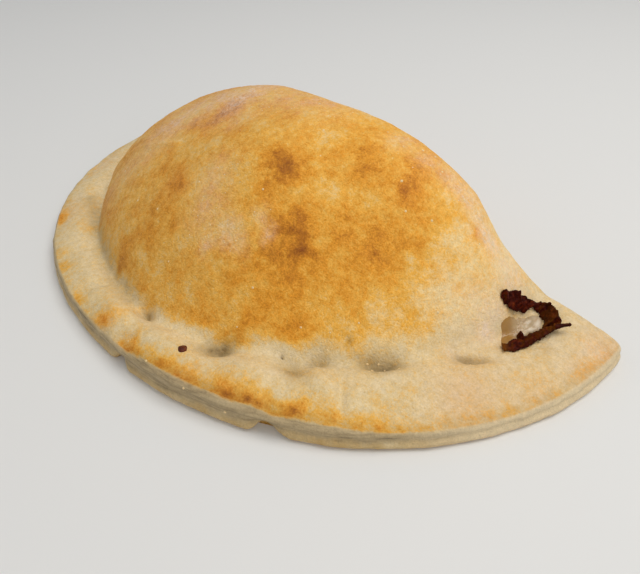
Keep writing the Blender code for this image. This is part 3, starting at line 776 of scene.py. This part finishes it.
def makeCrustMaterial():
    material, tree, shader = startMaterial("bakedCrust", 0.62, Specular_IOR_Level=0.32)
    place = nodeAdd(tree, "ShaderNodeTexCoord").outputs["Object"]
    tint = grainGroup(tree, 1300.0, 0.2)[0]
    cloudy = noiseNode(tree, place, 120.0, 4.0, 0.65)
    speck = noiseNode(tree, place, 430.0, 4.0, 0.7)
    grit = noiseNode(tree, place, 1250.0, 2.0, 0.6)
    level = maskNode(tree, "brown")
    for texture, share in ((cloudy, 0.37), (speck, 0.5), (grit, 0.42)):
        level = mathNode(tree, "ADD", level, swingNode(tree, texture, share))
    level = mathNode(tree, "MULTIPLY", level, 1.0, clamp=True)
    warmRamp = rampNode(tree, level, [
        (0.0, (246, 222, 168)), (0.18, (244, 208, 142)), (0.4, (242, 182, 74)),
        (0.58, (230, 154, 38)), (0.76, (194, 120, 18)), (1.0, (142, 76, 10)),
    ])
    # a cooler ramp, also darker than the warm one as painted shade, for the dome's blunt end and the rim
    coolAndShadedRamp = rampNode(tree, level, [
        (0.0, (230, 209, 168)), (0.18, (224, 197, 144)), (0.4, (232, 178, 80)),
        (0.58, (218, 148, 42)), (0.76, (184, 116, 22)), (1.0, (134, 74, 14)),
    ])
    colour = mixColour(tree, maskNode(tree, "warm"), coolAndShadedRamp, warmRamp)
    colour = mixColour(tree, maskTimes(tree, "rose", 0.55), colour, tone(250, 206, 184), "MULTIPLY")
    # flour and the painted shade of the dents are broken up by the skin's grain
    dust = noiseNode(tree, place, 700.0, 4.0, 0.7)
    flourShare = maskTimes(tree, "flour", rampNode(tree, dust, [(0.3, 0.15), (0.62, 1.0)]))
    colour = mixColour(tree, flourShare, colour, tone(238, 214, 190))
    # grey-brown painted shade in the dents and along the dome's foot
    paintedShadeShare = maskTimes(tree, "paintedShade", rampNode(tree, speck, [(0.3, 0.8), (0.7, 0.5)]))
    colour = mixColour(tree, paintedShadeShare, colour, tone(136, 112, 68))
    # grease and the steak's painted shadow, in brown
    colour = mixColour(tree, maskTimes(tree, "greaseAndShadow", 0.85), colour, tone(150, 104, 52))
    # dark brown painted shade in the pin holes
    colour = mixColour(tree, maskTimes(tree, "holeShade", 1.0), colour, tone(84, 56, 24))
    # painted shade: the browned band is darkened along the lip
    colour = mixColour(tree, maskNode(tree, "lip"), colour, tone(222, 216, 192), "MULTIPLY")
    # the rim's side: unbrowned dough in layers, with a darker grey upper part as painted shade under the lip,
    # and paler towards the tip as painted light
    layers = noiseNode(tree, place, 70.0, 5.0, 0.68, stretch=(1.0, 1.0, 12.0))
    # the upper side's grey is painted shade under the lip's overhang
    upper = rampNode(tree, layers, [(0.3, (128, 112, 82)), (0.46, (172, 150, 112)), (0.7, (198, 176, 136))])
    lower = rampNode(tree, cloudy, [(0.3, (196, 160, 98)), (0.55, (208, 180, 128)), (0.75, (222, 200, 156))])
    sideColour = mixColour(tree, maskNode(tree, "lowSide"), upper, lower)
    # painted light on the side of the tip
    sideColour = mixColour(tree, maskTimes(tree, "litTipSide", 0.82), sideColour, tone(228, 206, 166))
    colour = mixColour(tree, maskNode(tree, "side"), colour, sideColour)
    colourInto(tree, shader, colour, tint)
    bumpInto(tree, shader, weighedSum(tree, grit, 0.45, speck, 0.55), 0.0008)
    tree.links.new(rampNode(tree, speck, [(0.3, 0.5), (0.7, 0.7)]), shader.inputs["Roughness"])
    return material


crust, crustPoints, crustSide = makeCrust(makeCrustMaterial())
paintCrust(crust, crustPoints, crustSide)
crustTree = BVHTree.FromObject(crust, bpy.context.evaluated_depsgraph_get())
print("crust made:", len(crust.data.vertices), "points")


def restingHeight(x, y):
    hit = crustTree.ray_cast(Vector((x, y, 1.0)), Vector((0.0, 0.0, -1.0)))
    return hit[0].z


# the crisped strip of steak
steakForm = {
    "line": [
        (0.1134, 0.0456, 0.0026, 52.0), (0.1155, 0.0475, 0.007, 56.0), (0.1175, 0.0512, 0.0088, 56.0),
        (0.1191, 0.0554, 0.0088, 54.0), (0.1208, 0.0588, 0.0038, 42.0), (0.1236, 0.0617, 0.0036, 42.0),
        (0.127, 0.0618, 0.0062, 50.0), (0.131, 0.0588, 0.0078, 54.0), (0.1338, 0.0556, 0.008, 46.0),
        (0.1339, 0.0529, 0.0062, 30.0), (0.1315, 0.0482, 0.0054, 20.0), (0.1301, 0.0437, 0.006, 12.0),
        (0.1287, 0.0393, 0.006, 8.0), (0.1272, 0.0349, 0.005, 5.0), (0.1248, 0.0324, 0.0036, 5.0),
    ],
    "stations": 300,
    "sides": 20,
    "liftReach": 5,
    "thick": 0.0013,
    "clearance": 0.0001,
    "sink": 0.0002,
    "sway": (9.0, 41.0),  # degrees, waves
    "crimp": (0.0009, 67.0, 23.0),  # depth, quick waves, slow waves
    "curl": 0.0007,
    "wider": 0.05,
    "fray": [(38.0, 1.0, 0.2), (120.0, 5.0, 0.12)],  # waves, layer of the noise, share of the width
    "voxel": 0.00022,
    "crisp": [(0.0016, 21, 3, 0.00022), (0.00055, 22, 2, 0.00008)],  # size, seed, octaves, depth
    # amber at the strip's bend and end: painted light shining through the thin strip
    "amber": [(0.8, 0.6, 0.05), (0.7, 0.99, 0.04)],  # strength, share of the line, reach
    "twigAt": 0.6,
    "twig": (0.0026, 0.0024, 0.0008),
    "twigStops": [  # place along the twig, radius
        (-0.6, 0.0014), (0.0, 0.0011), (0.5, 0.0007), (0.85, 0.0008), (1.1, 0.0009), (1.25, 0.0004),
    ],
    "spikeAt": (0.1268, 0.044),
    "spikeStops": [
        ((0.0, 0.0, 0.0), 0.002), ((-0.0004, 0.0002, 0.002), 0.0014), ((-0.0007, 0.0003, 0.0038), 0.0005),
    ],
    "shreds": 26,
    "shredLength": (0.0003, 0.0009),
    "shredThick": (0.00045, 0.00075),
    "shredRoot": 0.0009,
    "seed": 5,
}


def smoothStop(stops, share):
    spans = len(stops) - 1
    place = min(share * spans, spans - 1e-6)
    k = int(place)
    rows = (stops[max(0, k - 1)], stops[k], stops[k + 1], stops[min(spans, k + 2)])
    return [smoothBetween(*column, place - k) for column in zip(*rows)]


def steakWidening(share, far):  # what one edge of the strip has beyond its plain half width
    wider = steakForm["wider"]
    for waves, layer, part in steakForm["fray"]:
        wider += noise.noise(Vector((share * waves, 20.0 if far else 0.0, layer))) * part
    return wider


def steakSection(share):
    form = steakForm
    x, y, wide, lean = smoothStop(form["line"], share)
    ahead = smoothStop(form["line"], min(1.0, share + 0.01))
    behind = smoothStop(form["line"], max(0.0, share - 0.01))
    along = Vector((ahead[0] - behind[0], ahead[1] - behind[1], 0.0)).normalized()
    sway, swayWaves = form["sway"]
    tilt = math.radians(lean + sway * math.sin(swayWaves * share))
    across = Vector((-along.y, along.x, 0.0)) * math.cos(tilt) + Vector((0.0, 0.0, math.sin(tilt)))
    normal = across.cross(along).normalized()
    depth, quick, slow = form["crimp"]
    crimp = depth * math.sin(quick * share) * math.sin(slow * share + 0.8)
    ring = []
    for k in range(form["sides"]):
        turn = 2.0 * math.pi * k / form["sides"]
        side = -math.cos(turn)
        half = 0.5 * wide * (1.0 + steakWidening(share, side > 0.0))
        uneven = 0.8 + 0.5 * noise.noise(Vector((share * 60.0, side * 2.0, 3.0)))
        over = math.sin(turn) * 0.5 * form["thick"] * uneven
        curl = crimp * (1.0 - side * side) + form["curl"] * noise.noise(Vector((share * 34.0, side * 1.6, 9.0)))
        ring.append(Vector((x, y, 0.0)) + across * (side * half) - normal * over + normal * curl)
    return ring, max(restingHeight(p.x, p.y) + form["clearance"] - p.z for p in ring)


def tube(stops, radii, sides=10):  # a closed tapering tube through some places
    points, faces = [], []
    for k, (place, radius) in enumerate(zip(stops, radii)):
        direction = (stops[min(k + 1, len(stops) - 1)] - stops[max(k - 1, 0)]).normalized()
        first = direction.orthogonal().normalized()
        second = direction.cross(first)
        for i in range(sides):
            turn = 2.0 * math.pi * i / sides
            points.append(place + (first * math.cos(turn) + second * math.sin(turn)) * radius)
    for k in range(len(stops) - 1):
        for i in range(sides):
            j = (i + 1) % sides
            faces.append((k * sides + i, k * sides + j, (k + 1) * sides + j, (k + 1) * sides + i))
    faces.append(tuple(reversed(range(sides))))
    faces.append(tuple(range((len(stops) - 1) * sides, len(stops) * sides)))
    return points, faces


def remeshed(piece, voxel, smoothing):
    grow = piece.modifiers.new("knit", "REMESH")
    grow.mode = "VOXEL"
    grow.voxel_size = voxel
    calm = piece.modifiers.new("calm", "SMOOTH")
    calm.factor = 0.5
    calm.iterations = smoothing
    settle(piece)


def makeSteak(material):
    form = steakForm
    count, sides = form["stations"], form["sides"]
    sections = [steakSection(k / (count - 1)) for k in range(count)]
    lifts = [lift for ring, lift in sections]
    reach = form["liftReach"]
    highest = [max(lifts[max(0, k - reach):k + reach + 1]) for k in range(count)]
    points, middles = [], []
    for k, (ring, lift) in enumerate(sections):
        near = highest[max(0, k - reach):k + reach + 1]
        rise = Vector((0.0, 0.0, sum(near) / len(near) - form["sink"]))
        points += [p + rise for p in ring]
        middles.append(sum((p + rise for p in ring), Vector()) / len(ring))
    faces = [
        (k * sides + i, (k + 1) * sides + i, (k + 1) * sides + (i + 1) % sides, k * sides + (i + 1) % sides)
        for k in range(count - 1) for i in range(sides)
    ]
    faces.append(tuple(range(sides)))
    faces.append(tuple(reversed(range((count - 1) * sides, count * sides))))

    def addTube(stops, radii):
        more, skins = tube(stops, radii)
        base = len(points)
        points.extend(more)
        faces.extend(tuple(base + i for i in skin) for skin in skins)

    # the twig with its knob, the spike inside the loop, and shreds along the edges
    root = points[int(form["twigAt"] * (count - 1)) * sides + sides // 2]
    shares, radii = zip(*form["twigStops"])
    addTube([root + Vector(form["twig"]) * share for share in shares], radii)
    sx, sy = form["spikeAt"]
    foot = Vector((sx, sy, restingHeight(sx, sy)))
    steps, radii = zip(*form["spikeStops"])
    addTube([foot + Vector(step) for step in steps], radii)
    draw = np.random.default_rng(form["seed"])
    for shred in range(form["shreds"]):
        k = int(draw.integers(4, count - 4))
        edge = points[k * sides + (sides // 2 if draw.random() < 0.5 else 0)]
        inward = (middles[k] - edge).normalized()
        stray = (-inward + Vector(draw.normal(0.0, 0.8, 3))).normalized()
        stick = stray * float(draw.uniform(*form["shredLength"]))
        thick = float(draw.uniform(*form["shredThick"]))
        addTube([edge + inward * form["shredRoot"], edge, edge + stick], [thick * 1.3, thick, thick * 0.6])
    steak = newPiece("steakStrip", [tuple(p) for p in points], faces, material)
    guide = KDTree(count * sides)
    for index, place in enumerate(points[:count * sides]):
        guide.insert(place, index)
    guide.balance()
    remeshed(steak, form["voxel"], 2)
    spots = vertexArray(steak.data)
    normals = normalArray(steak.data)
    crisp = sum(grainField(spots, size, seed, octaves) * depth for size, seed, octaves, depth in form["crisp"])
    spots = spots + normals * crisp[:, None]
    steak.data.vertices.foreach_set("co", spots.ravel())
    nearest = np.array([guide.find(spot)[1] for spot in spots])
    edges = np.abs(np.cos(2.0 * math.pi * (nearest % sides) / sides))
    shares = nearest // sides / (count - 1)
    addMask(steak, "char", ease(0.55, 1.0, edges))
    # amber where the strip's walls face the blunt end, most at its bend and its end: painted light shining
    # through the thin strip
    inner = ease(0.0, 0.6, -normals[:, 0] - 0.3 * normals[:, 1])
    bend, end = (part * np.exp(-((shares - at) / reach) ** 2) for part, at, reach in form["amber"])
    addMask(steak, "amber", bend * inner + end + 0.3 * inner)
    steak.data.update()
    return steak


def makeSteakMaterial():
    material, tree, shader = startMaterial("crispedSteak", 0.5, Specular_IOR_Level=0.06)
    place = nodeAdd(tree, "ShaderNodeTexCoord").outputs["Object"]
    tint, grain = grainGroup(tree, 2600.0, 0.22)
    fibre = noiseNode(tree, place, 800.0, 4.0, 0.6, stretch=(1.0, 0.35, 1.0))
    patch = noiseNode(tree, place, 330.0, 3.0, 0.6)
    colour = rampNode(tree, fibre, [
        (0.3, (36, 4, 1)), (0.5, (66, 14, 2)), (0.66, (96, 32, 5)), (0.85, (130, 64, 22)),
    ])
    colour = mixColour(tree, rampNode(tree, patch, [(0.42, 0.0), (0.66, 0.6)]), colour, tone(40, 5, 2))
    colour = mixColour(tree, maskTimes(tree, "char", 0.45), colour, tone(36, 4, 1))
    # painted light shining through the thin strip, in amber
    colour = mixColour(tree, maskTimes(tree, "amber", 0.6), colour, tone(134, 78, 14))
    colourInto(tree, shader, colour, tint)
    bumpInto(tree, shader, weighedSum(tree, fibre, 0.7, grain, 0.3), 0.0004)
    tree.links.new(rampNode(tree, patch, [(0.35, 0.3), (0.65, 0.6)]), shader.inputs["Roughness"])
    return material


steak = makeSteak(makeSteakMaterial())
print("steak made:", len(steak.data.polygons), "faces")


# the melted cheese inside the strip's loop
cheeseForm = {
    "centre": (0.124, 0.048),
    "outline": [  # its border in plan, inside the strip
        (0.1308, 0.0542), (0.129, 0.058), (0.1262, 0.06), (0.124, 0.0588), (0.1225, 0.0554),
        (0.1208, 0.0503), (0.1186, 0.0454), (0.118, 0.0409), (0.1201, 0.0389), (0.124, 0.0338),
        (0.1264, 0.0361), (0.1262, 0.0446), (0.1284, 0.0494),
    ],
    "thick": 0.0017,
    "sink": 0.0007,
    "edgeDip": 0.00035,
    "lumps": (0.0035, 0.26),
    "sides": 120,
    "rings": 34,
    "waves": [(0.03, 5.0, 2.1), (0.02, 11.0, 0.9)],
}


def makeCheese(material):
    form = cheeseForm
    spokes = np.array(form["outline"]) - form["centre"]
    bearings, spans = np.arctan2(spokes[:, 1], spokes[:, 0]), np.hypot(spokes[:, 0], spokes[:, 1])
    cx, cy = form["centre"]
    lumpSize, lumpDepth = form["lumps"]
    upper, lower, shares = [], [], []
    for k in range(1, form["rings"] + 1):
        share = k / form["rings"]
        topRing, baseRing = [], []
        for i in range(form["sides"]):
            angle = 2.0 * math.pi * i / form["sides"]
            wave = sum(size * math.sin(turns * angle + phase) for size, turns, phase in form["waves"])
            out = share * (1.0 + wave) * float(np.interp(angle, bearings, spans, period=2.0 * math.pi))
            x, y = cx + out * math.cos(angle), cy + out * math.sin(angle)
            floor = restingHeight(x, y)
            lump = 1.0 + lumpDepth * noise.fractal(Vector((x, y, 0.0)) / lumpSize, 0.6, 2.0, 3)
            thick = form["thick"] * (1.0 - share ** 2.4) * lump - form["edgeDip"] * share ** 6
            topRing.append((x, y, floor + thick))
            baseRing.append((x, y, floor - form["sink"]))
        upper.append(np.array(topRing))
        lower.append(np.array(baseRing))
        shares.append(share)
    floor = restingHeight(cx, cy)
    rings = upper + lower[::-1]
    points, faces = closedSkin((cx, cy, floor + form["thick"]), rings, (cx, cy, floor - form["sink"]))
    cheese = newPiece("cheesePool", points.tolist(), faces, material)
    x, y = vertexArray(cheese.data).T[:2]
    distance = np.concatenate([[0.0]] + [np.full(form["sides"], s) for s in shares + shares[::-1]] + [[0.0]])
    leftward = 0.7071 * (0.172 - x - y)  # how far towards the blunt end of the puddle
    amber = 0.4 * ease(-0.004, 0.002, leftward) + 0.55 * ease(0.002, 0.006, leftward)
    addMask(cheese, "amber", amber + 0.3 * ease(0.7, 1.0, distance))
    return cheese


def makeCheeseMaterial():
    material, tree, shader = startMaterial("meltedCheese", 0.3, Specular_IOR_Level=0.55)
    shader.inputs["Subsurface Weight"].default_value = 0.18
    shader.inputs["Subsurface Radius"].default_value = (0.004, 0.0025, 0.0015)
    shader.inputs["Subsurface Scale"].default_value = 0.5
    place = nodeAdd(tree, "ShaderNodeTexCoord").outputs["Object"]
    tint, grain = grainGroup(tree, 1500.0, 0.06)
    cloudy = noiseNode(tree, place, 330.0, 3.0, 0.55)
    colour = rampNode(tree, cloudy, [(0.3, (176, 148, 110)), (0.5, (196, 172, 136)), (0.7, (212, 194, 166))])
    amber = mathNode(tree, "ADD", maskNode(tree, "amber"), swingNode(tree, cloudy, 0.8), clamp=True)
    amber = rampNode(tree, amber, [(0.1, 0.0), (0.55, 0.6), (1.0, 1.0)])
    colour = mixColour(tree, amber, colour, tone(164, 120, 56))
    colourInto(tree, shader, colour, tint)
    bumpInto(tree, shader, weighedSum(tree, cloudy, 0.8, grain, 0.2), 0.0003)
    return material


cheese = makeCheese(makeCheeseMaterial())
print("cheese made:", len(cheese.data.polygons), "faces")


# the spot of filling that shows through the rim
spotForm = {"place": (0.0331, -0.0602), "radii": (0.0022, 0.002, 0.0016), "turn": -45.0, "sink": 0.0007}


def makeSpot(material):
    shape = bmesh.new()
    bmesh.ops.create_icosphere(shape, subdivisions=4, radius=1.0)
    x, y = spotForm["place"]
    floor = restingHeight(x, y) - spotForm["sink"]
    turn = Quaternion((0.0, 0.0, 1.0), math.radians(spotForm["turn"]))
    for point in shape.verts:
        low = 0.16 * noise.noise(point.co * 1.7 + Vector((3.0, 0.0, 0.0)))
        swell = 1.0 + low + 0.05 * noise.noise(point.co * 6.0)
        sized = Vector(a * b for a, b in zip(point.co * swell, spotForm["radii"]))
        point.co = turn @ sized + Vector((x, y, floor))
    mesh = bpy.data.meshes.new("fillingSpot")
    shape.to_mesh(mesh)
    shape.free()
    mesh.shade_smooth()
    mesh.materials.append(material)
    return linked("fillingSpot", mesh)


def makeSpotMaterial():
    material, tree, shader = startMaterial("fillingJuice", 0.4, Specular_IOR_Level=0.25)
    place = nodeAdd(tree, "ShaderNodeTexCoord").outputs["Object"]
    tint, grain = grainGroup(tree, 2200.0, 0.2)
    patch = noiseNode(tree, place, 700.0, 3.0, 0.6)
    colour = rampNode(tree, patch, [(0.3, (74, 26, 10)), (0.55, (98, 42, 16)), (0.8, (130, 70, 34))])
    colourInto(tree, shader, colour, tint)
    bumpInto(tree, shader, mathNode(tree, "ADD", grain, patch), 0.0003)
    return material


spot = makeSpot(makeSpotMaterial())
print("filling spot made")


# what is scattered over the dough: flour grains and tiny blisters
scatterForm = {
    "flourGrains": {"Density": 260000.0, "Smallest": 0.0001, "Largest": 0.00026, "Flatness": 0.35, "Seed": 7},
    "doughBlisters": {"Density": 30000.0, "Smallest": 0.0003, "Largest": 0.00062, "Flatness": 0.3, "Seed": 3},
}
blisterForm = {  # how thickly the blisters stand, and from which x or height
    "even": 0.04, "floured": (0.8, -0.01), "dented": (0.25, 0.05), "dome": (0.02, 0.12), "above": 0.004,
}
scatterLooks = {  # material, roughness, specular, grain size, colour
    "flourGrains": ("flourDust", 0.9, 0.15, 900.0, (236, 220, 190)),
    "doughBlisters": ("doughBlister", 0.35, 0.45, 1200.0, (236, 206, 150)),
}


def makeScatterTree(name, maskName, material, levels):
    tree = bpy.data.node_groups.new(name, "GeometryNodeTree")
    numbers = [("Density", 1000.0), ("Smallest", 0.0002), ("Largest", 0.0005), ("Flatness", 0.4)]
    inputs = [(label, "NodeSocketFloat", value) for label, value in numbers]
    inputs = [("Skin", "NodeSocketGeometry", None)] + inputs + [("Seed", "NodeSocketInt", 1)]
    groupSockets(tree, inputs, [("Grains", "NodeSocketGeometry")])
    start = nodeAdd(tree, "NodeGroupInput", (-900, 0))
    end = nodeAdd(tree, "NodeGroupOutput", (900, 0))
    mask = nodeAdd(tree, "GeometryNodeInputNamedAttribute", (-900, -300), data_type="FLOAT")
    mask.inputs["Name"].default_value = maskName
    amount = mathNode(tree, "MULTIPLY", mask.outputs[0], start.outputs["Density"])
    spread = nodeAdd(tree, "GeometryNodeDistributePointsOnFaces", (-500, 0), distribute_method="RANDOM")
    tree.links.new(start.outputs["Skin"], spread.inputs["Mesh"])
    tree.links.new(amount, spread.inputs["Density"])
    tree.links.new(start.outputs["Seed"], spread.inputs["Seed"])
    grain = nodeAdd(tree, "GeometryNodeMeshIcoSphere", (-500, -300))
    grain.inputs["Radius"].default_value = 1.0
    grain.inputs["Subdivisions"].default_value = levels
    size = nodeAdd(tree, "FunctionNodeRandomValue", (-500, -500), data_type="FLOAT")
    tree.links.new(start.outputs["Smallest"], size.inputs[2])
    tree.links.new(start.outputs["Largest"], size.inputs[3])
    tree.links.new(start.outputs["Seed"], size.inputs["Seed"])
    scale = nodeAdd(tree, "ShaderNodeCombineXYZ", (-200, -400))
    tree.links.new(size.outputs[1], scale.inputs[0])
    tree.links.new(size.outputs[1], scale.inputs[1])
    tree.links.new(mathNode(tree, "MULTIPLY", size.outputs[1], start.outputs["Flatness"]), scale.inputs[2])
    placed = nodeAdd(tree, "GeometryNodeInstanceOnPoints", (0, 0))
    tree.links.new(spread.outputs["Points"], placed.inputs["Points"])
    tree.links.new(grain.outputs["Mesh"], placed.inputs["Instance"])
    tree.links.new(spread.outputs["Rotation"], placed.inputs["Rotation"])
    tree.links.new(scale.outputs[0], placed.inputs["Scale"])
    real = nodeAdd(tree, "GeometryNodeRealizeInstances", (300, 0))
    dressed = nodeAdd(tree, "GeometryNodeSetMaterial", (600, 0))
    dressed.inputs["Material"].default_value = material
    tree.links.new(placed.outputs[0], real.inputs[0])
    tree.links.new(real.outputs[0], dressed.inputs[0])
    tree.links.new(dressed.outputs[0], end.inputs[0])
    return tree


def makeScatterMaterial(name):
    label, roughness, specular, grainSize, colour = scatterLooks[name]
    material, tree, shader = startMaterial(label, roughness, Specular_IOR_Level=specular)
    tint = grainGroup(tree, grainSize, 0.1)[0]
    base = nodeAdd(tree, "ShaderNodeRGB")
    base.outputs[0].default_value = tone(*colour)
    colourInto(tree, shader, base.outputs[0], tint)
    return material


def scatterOver(skin, name, maskName, levels):
    tree = makeScatterTree(name, maskName, makeScatterMaterial(name), levels)
    piece = linked(name, skin.data.copy())
    modifier = piece.modifiers.new(name, "NODES")
    modifier.node_group = tree
    for socket in tree.interface.items_tree:
        if socket.in_out == "INPUT" and socket.name in scatterForm[name]:
            modifier[socket.identifier] = scatterForm[name][socket.name]
    settle(piece)
    return piece


def blisterField(x, y, z):
    form = blisterForm
    domeShare = ease(*form["dome"], pocketRise(x, y) / crustForm["crestRise"])
    floured, flouredFrom = form["floured"]
    dented, dentedFrom = form["dented"]
    total = form["even"] + floured * markField("flour", x, y) * domeShare * (x > flouredFrom)
    return (total + dented * dentShadeField(x, y) * (x > dentedFrom)) * (z > form["above"])


addMask(crust, "blister", blisterField(*crustPoints.T))
flour = scatterOver(crust, "flourGrains", "flour", 1)
blisters = scatterOver(crust, "doughBlisters", "blister", 2)
print("scattered:", len(flour.data.polygons), "flour faces,", len(blisters.data.polygons), "blister faces")

for piece, slot in (
    (crust, "baked_crust"), (blisters, "baked_crust"), (flour, "baked_crust"),
    (spot, "crisped_steak"), (steak, "crisped_steak"), (cheese, "melted_cheese"),
):
    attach(piece, "root")
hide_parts("crust")
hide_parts("steak_curl")
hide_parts("cheese_melt")

# floor, light and camera
studio = {
    "floorHalf": 3.0,
    "floorTone": (228, 228, 226),
    "worldStrength": 0.34,
    "lights": [  # name, place, aim, size, watts, colour
        ("overhead", (0.34, 0.34, 1.14), (0.0, 0.0, 0.03), 0.9, 8.3, (1.0, 0.97, 0.93)),
        ("front", (1.2, -0.5, 0.9), (0.0, 0.0, 0.03), 1.0, 4.4, (1.0, 0.98, 0.96)),
        ("left", (-0.9, -0.5, 0.8), (0.0, 0.0, 0.03), 0.9, 1.3, (1.0, 0.98, 0.96)),
    ],
    "cameraPlace": (0.19064, -0.13821, 0.189),
    "cameraView": (-0.53743, 0.53743, -0.64987),
    "cameraRoll": -0.925,
    "lens": 33.3,
}


def makeStudio():
    half = studio["floorHalf"]
    material, tree, shader = startMaterial("studioFloor", 0.7)
    shader.inputs["Base Color"].default_value = tone(*studio["floorTone"])
    corners = [(-half, -half, 0.0), (half, -half, 0.0), (half, half, 0.0), (-half, half, 0.0)]
    floor = newPiece("studioFloor", corners, [(0, 1, 2, 3)], material, False)
    world = bpy.data.worlds.new("studioAir")
    world.use_nodes = True
    air = world.node_tree.nodes["Background"]
    air.inputs["Color"].default_value = (0.95, 0.97, 1.0, 1.0)
    air.inputs["Strength"].default_value = studio["worldStrength"]
    bpy.context.scene.world = world
    for name, place, aim, size, watts, colour in studio["lights"]:
        light = bpy.data.lights.new(name, "AREA")
        light.shape = "DISK"
        light.size = size
        light.energy = watts
        light.color = colour
        lamp = linked(name, light)
        lamp.location = place
        lamp.rotation_mode = "QUATERNION"
        lamp.rotation_quaternion = (Vector(aim) - Vector(place)).to_track_quat("-Z", "Y")
    camera = linked("photoCamera", bpy.data.cameras.new("photoCamera"))
    camera.data.lens = studio["lens"]
    camera.data.sensor_width = 36.0
    camera.data.clip_start = 0.01
    camera.location = studio["cameraPlace"]
    camera.rotation_mode = "QUATERNION"
    roll = Quaternion((0.0, 0.0, 1.0), math.radians(studio["cameraRoll"]))
    camera.rotation_quaternion = Vector(studio["cameraView"]).to_track_quat("-Z", "Y") @ roll
    bpy.context.scene.camera = camera
    bpy.context.scene.view_settings.view_transform = "Standard"


makeStudio()
print("studio made")
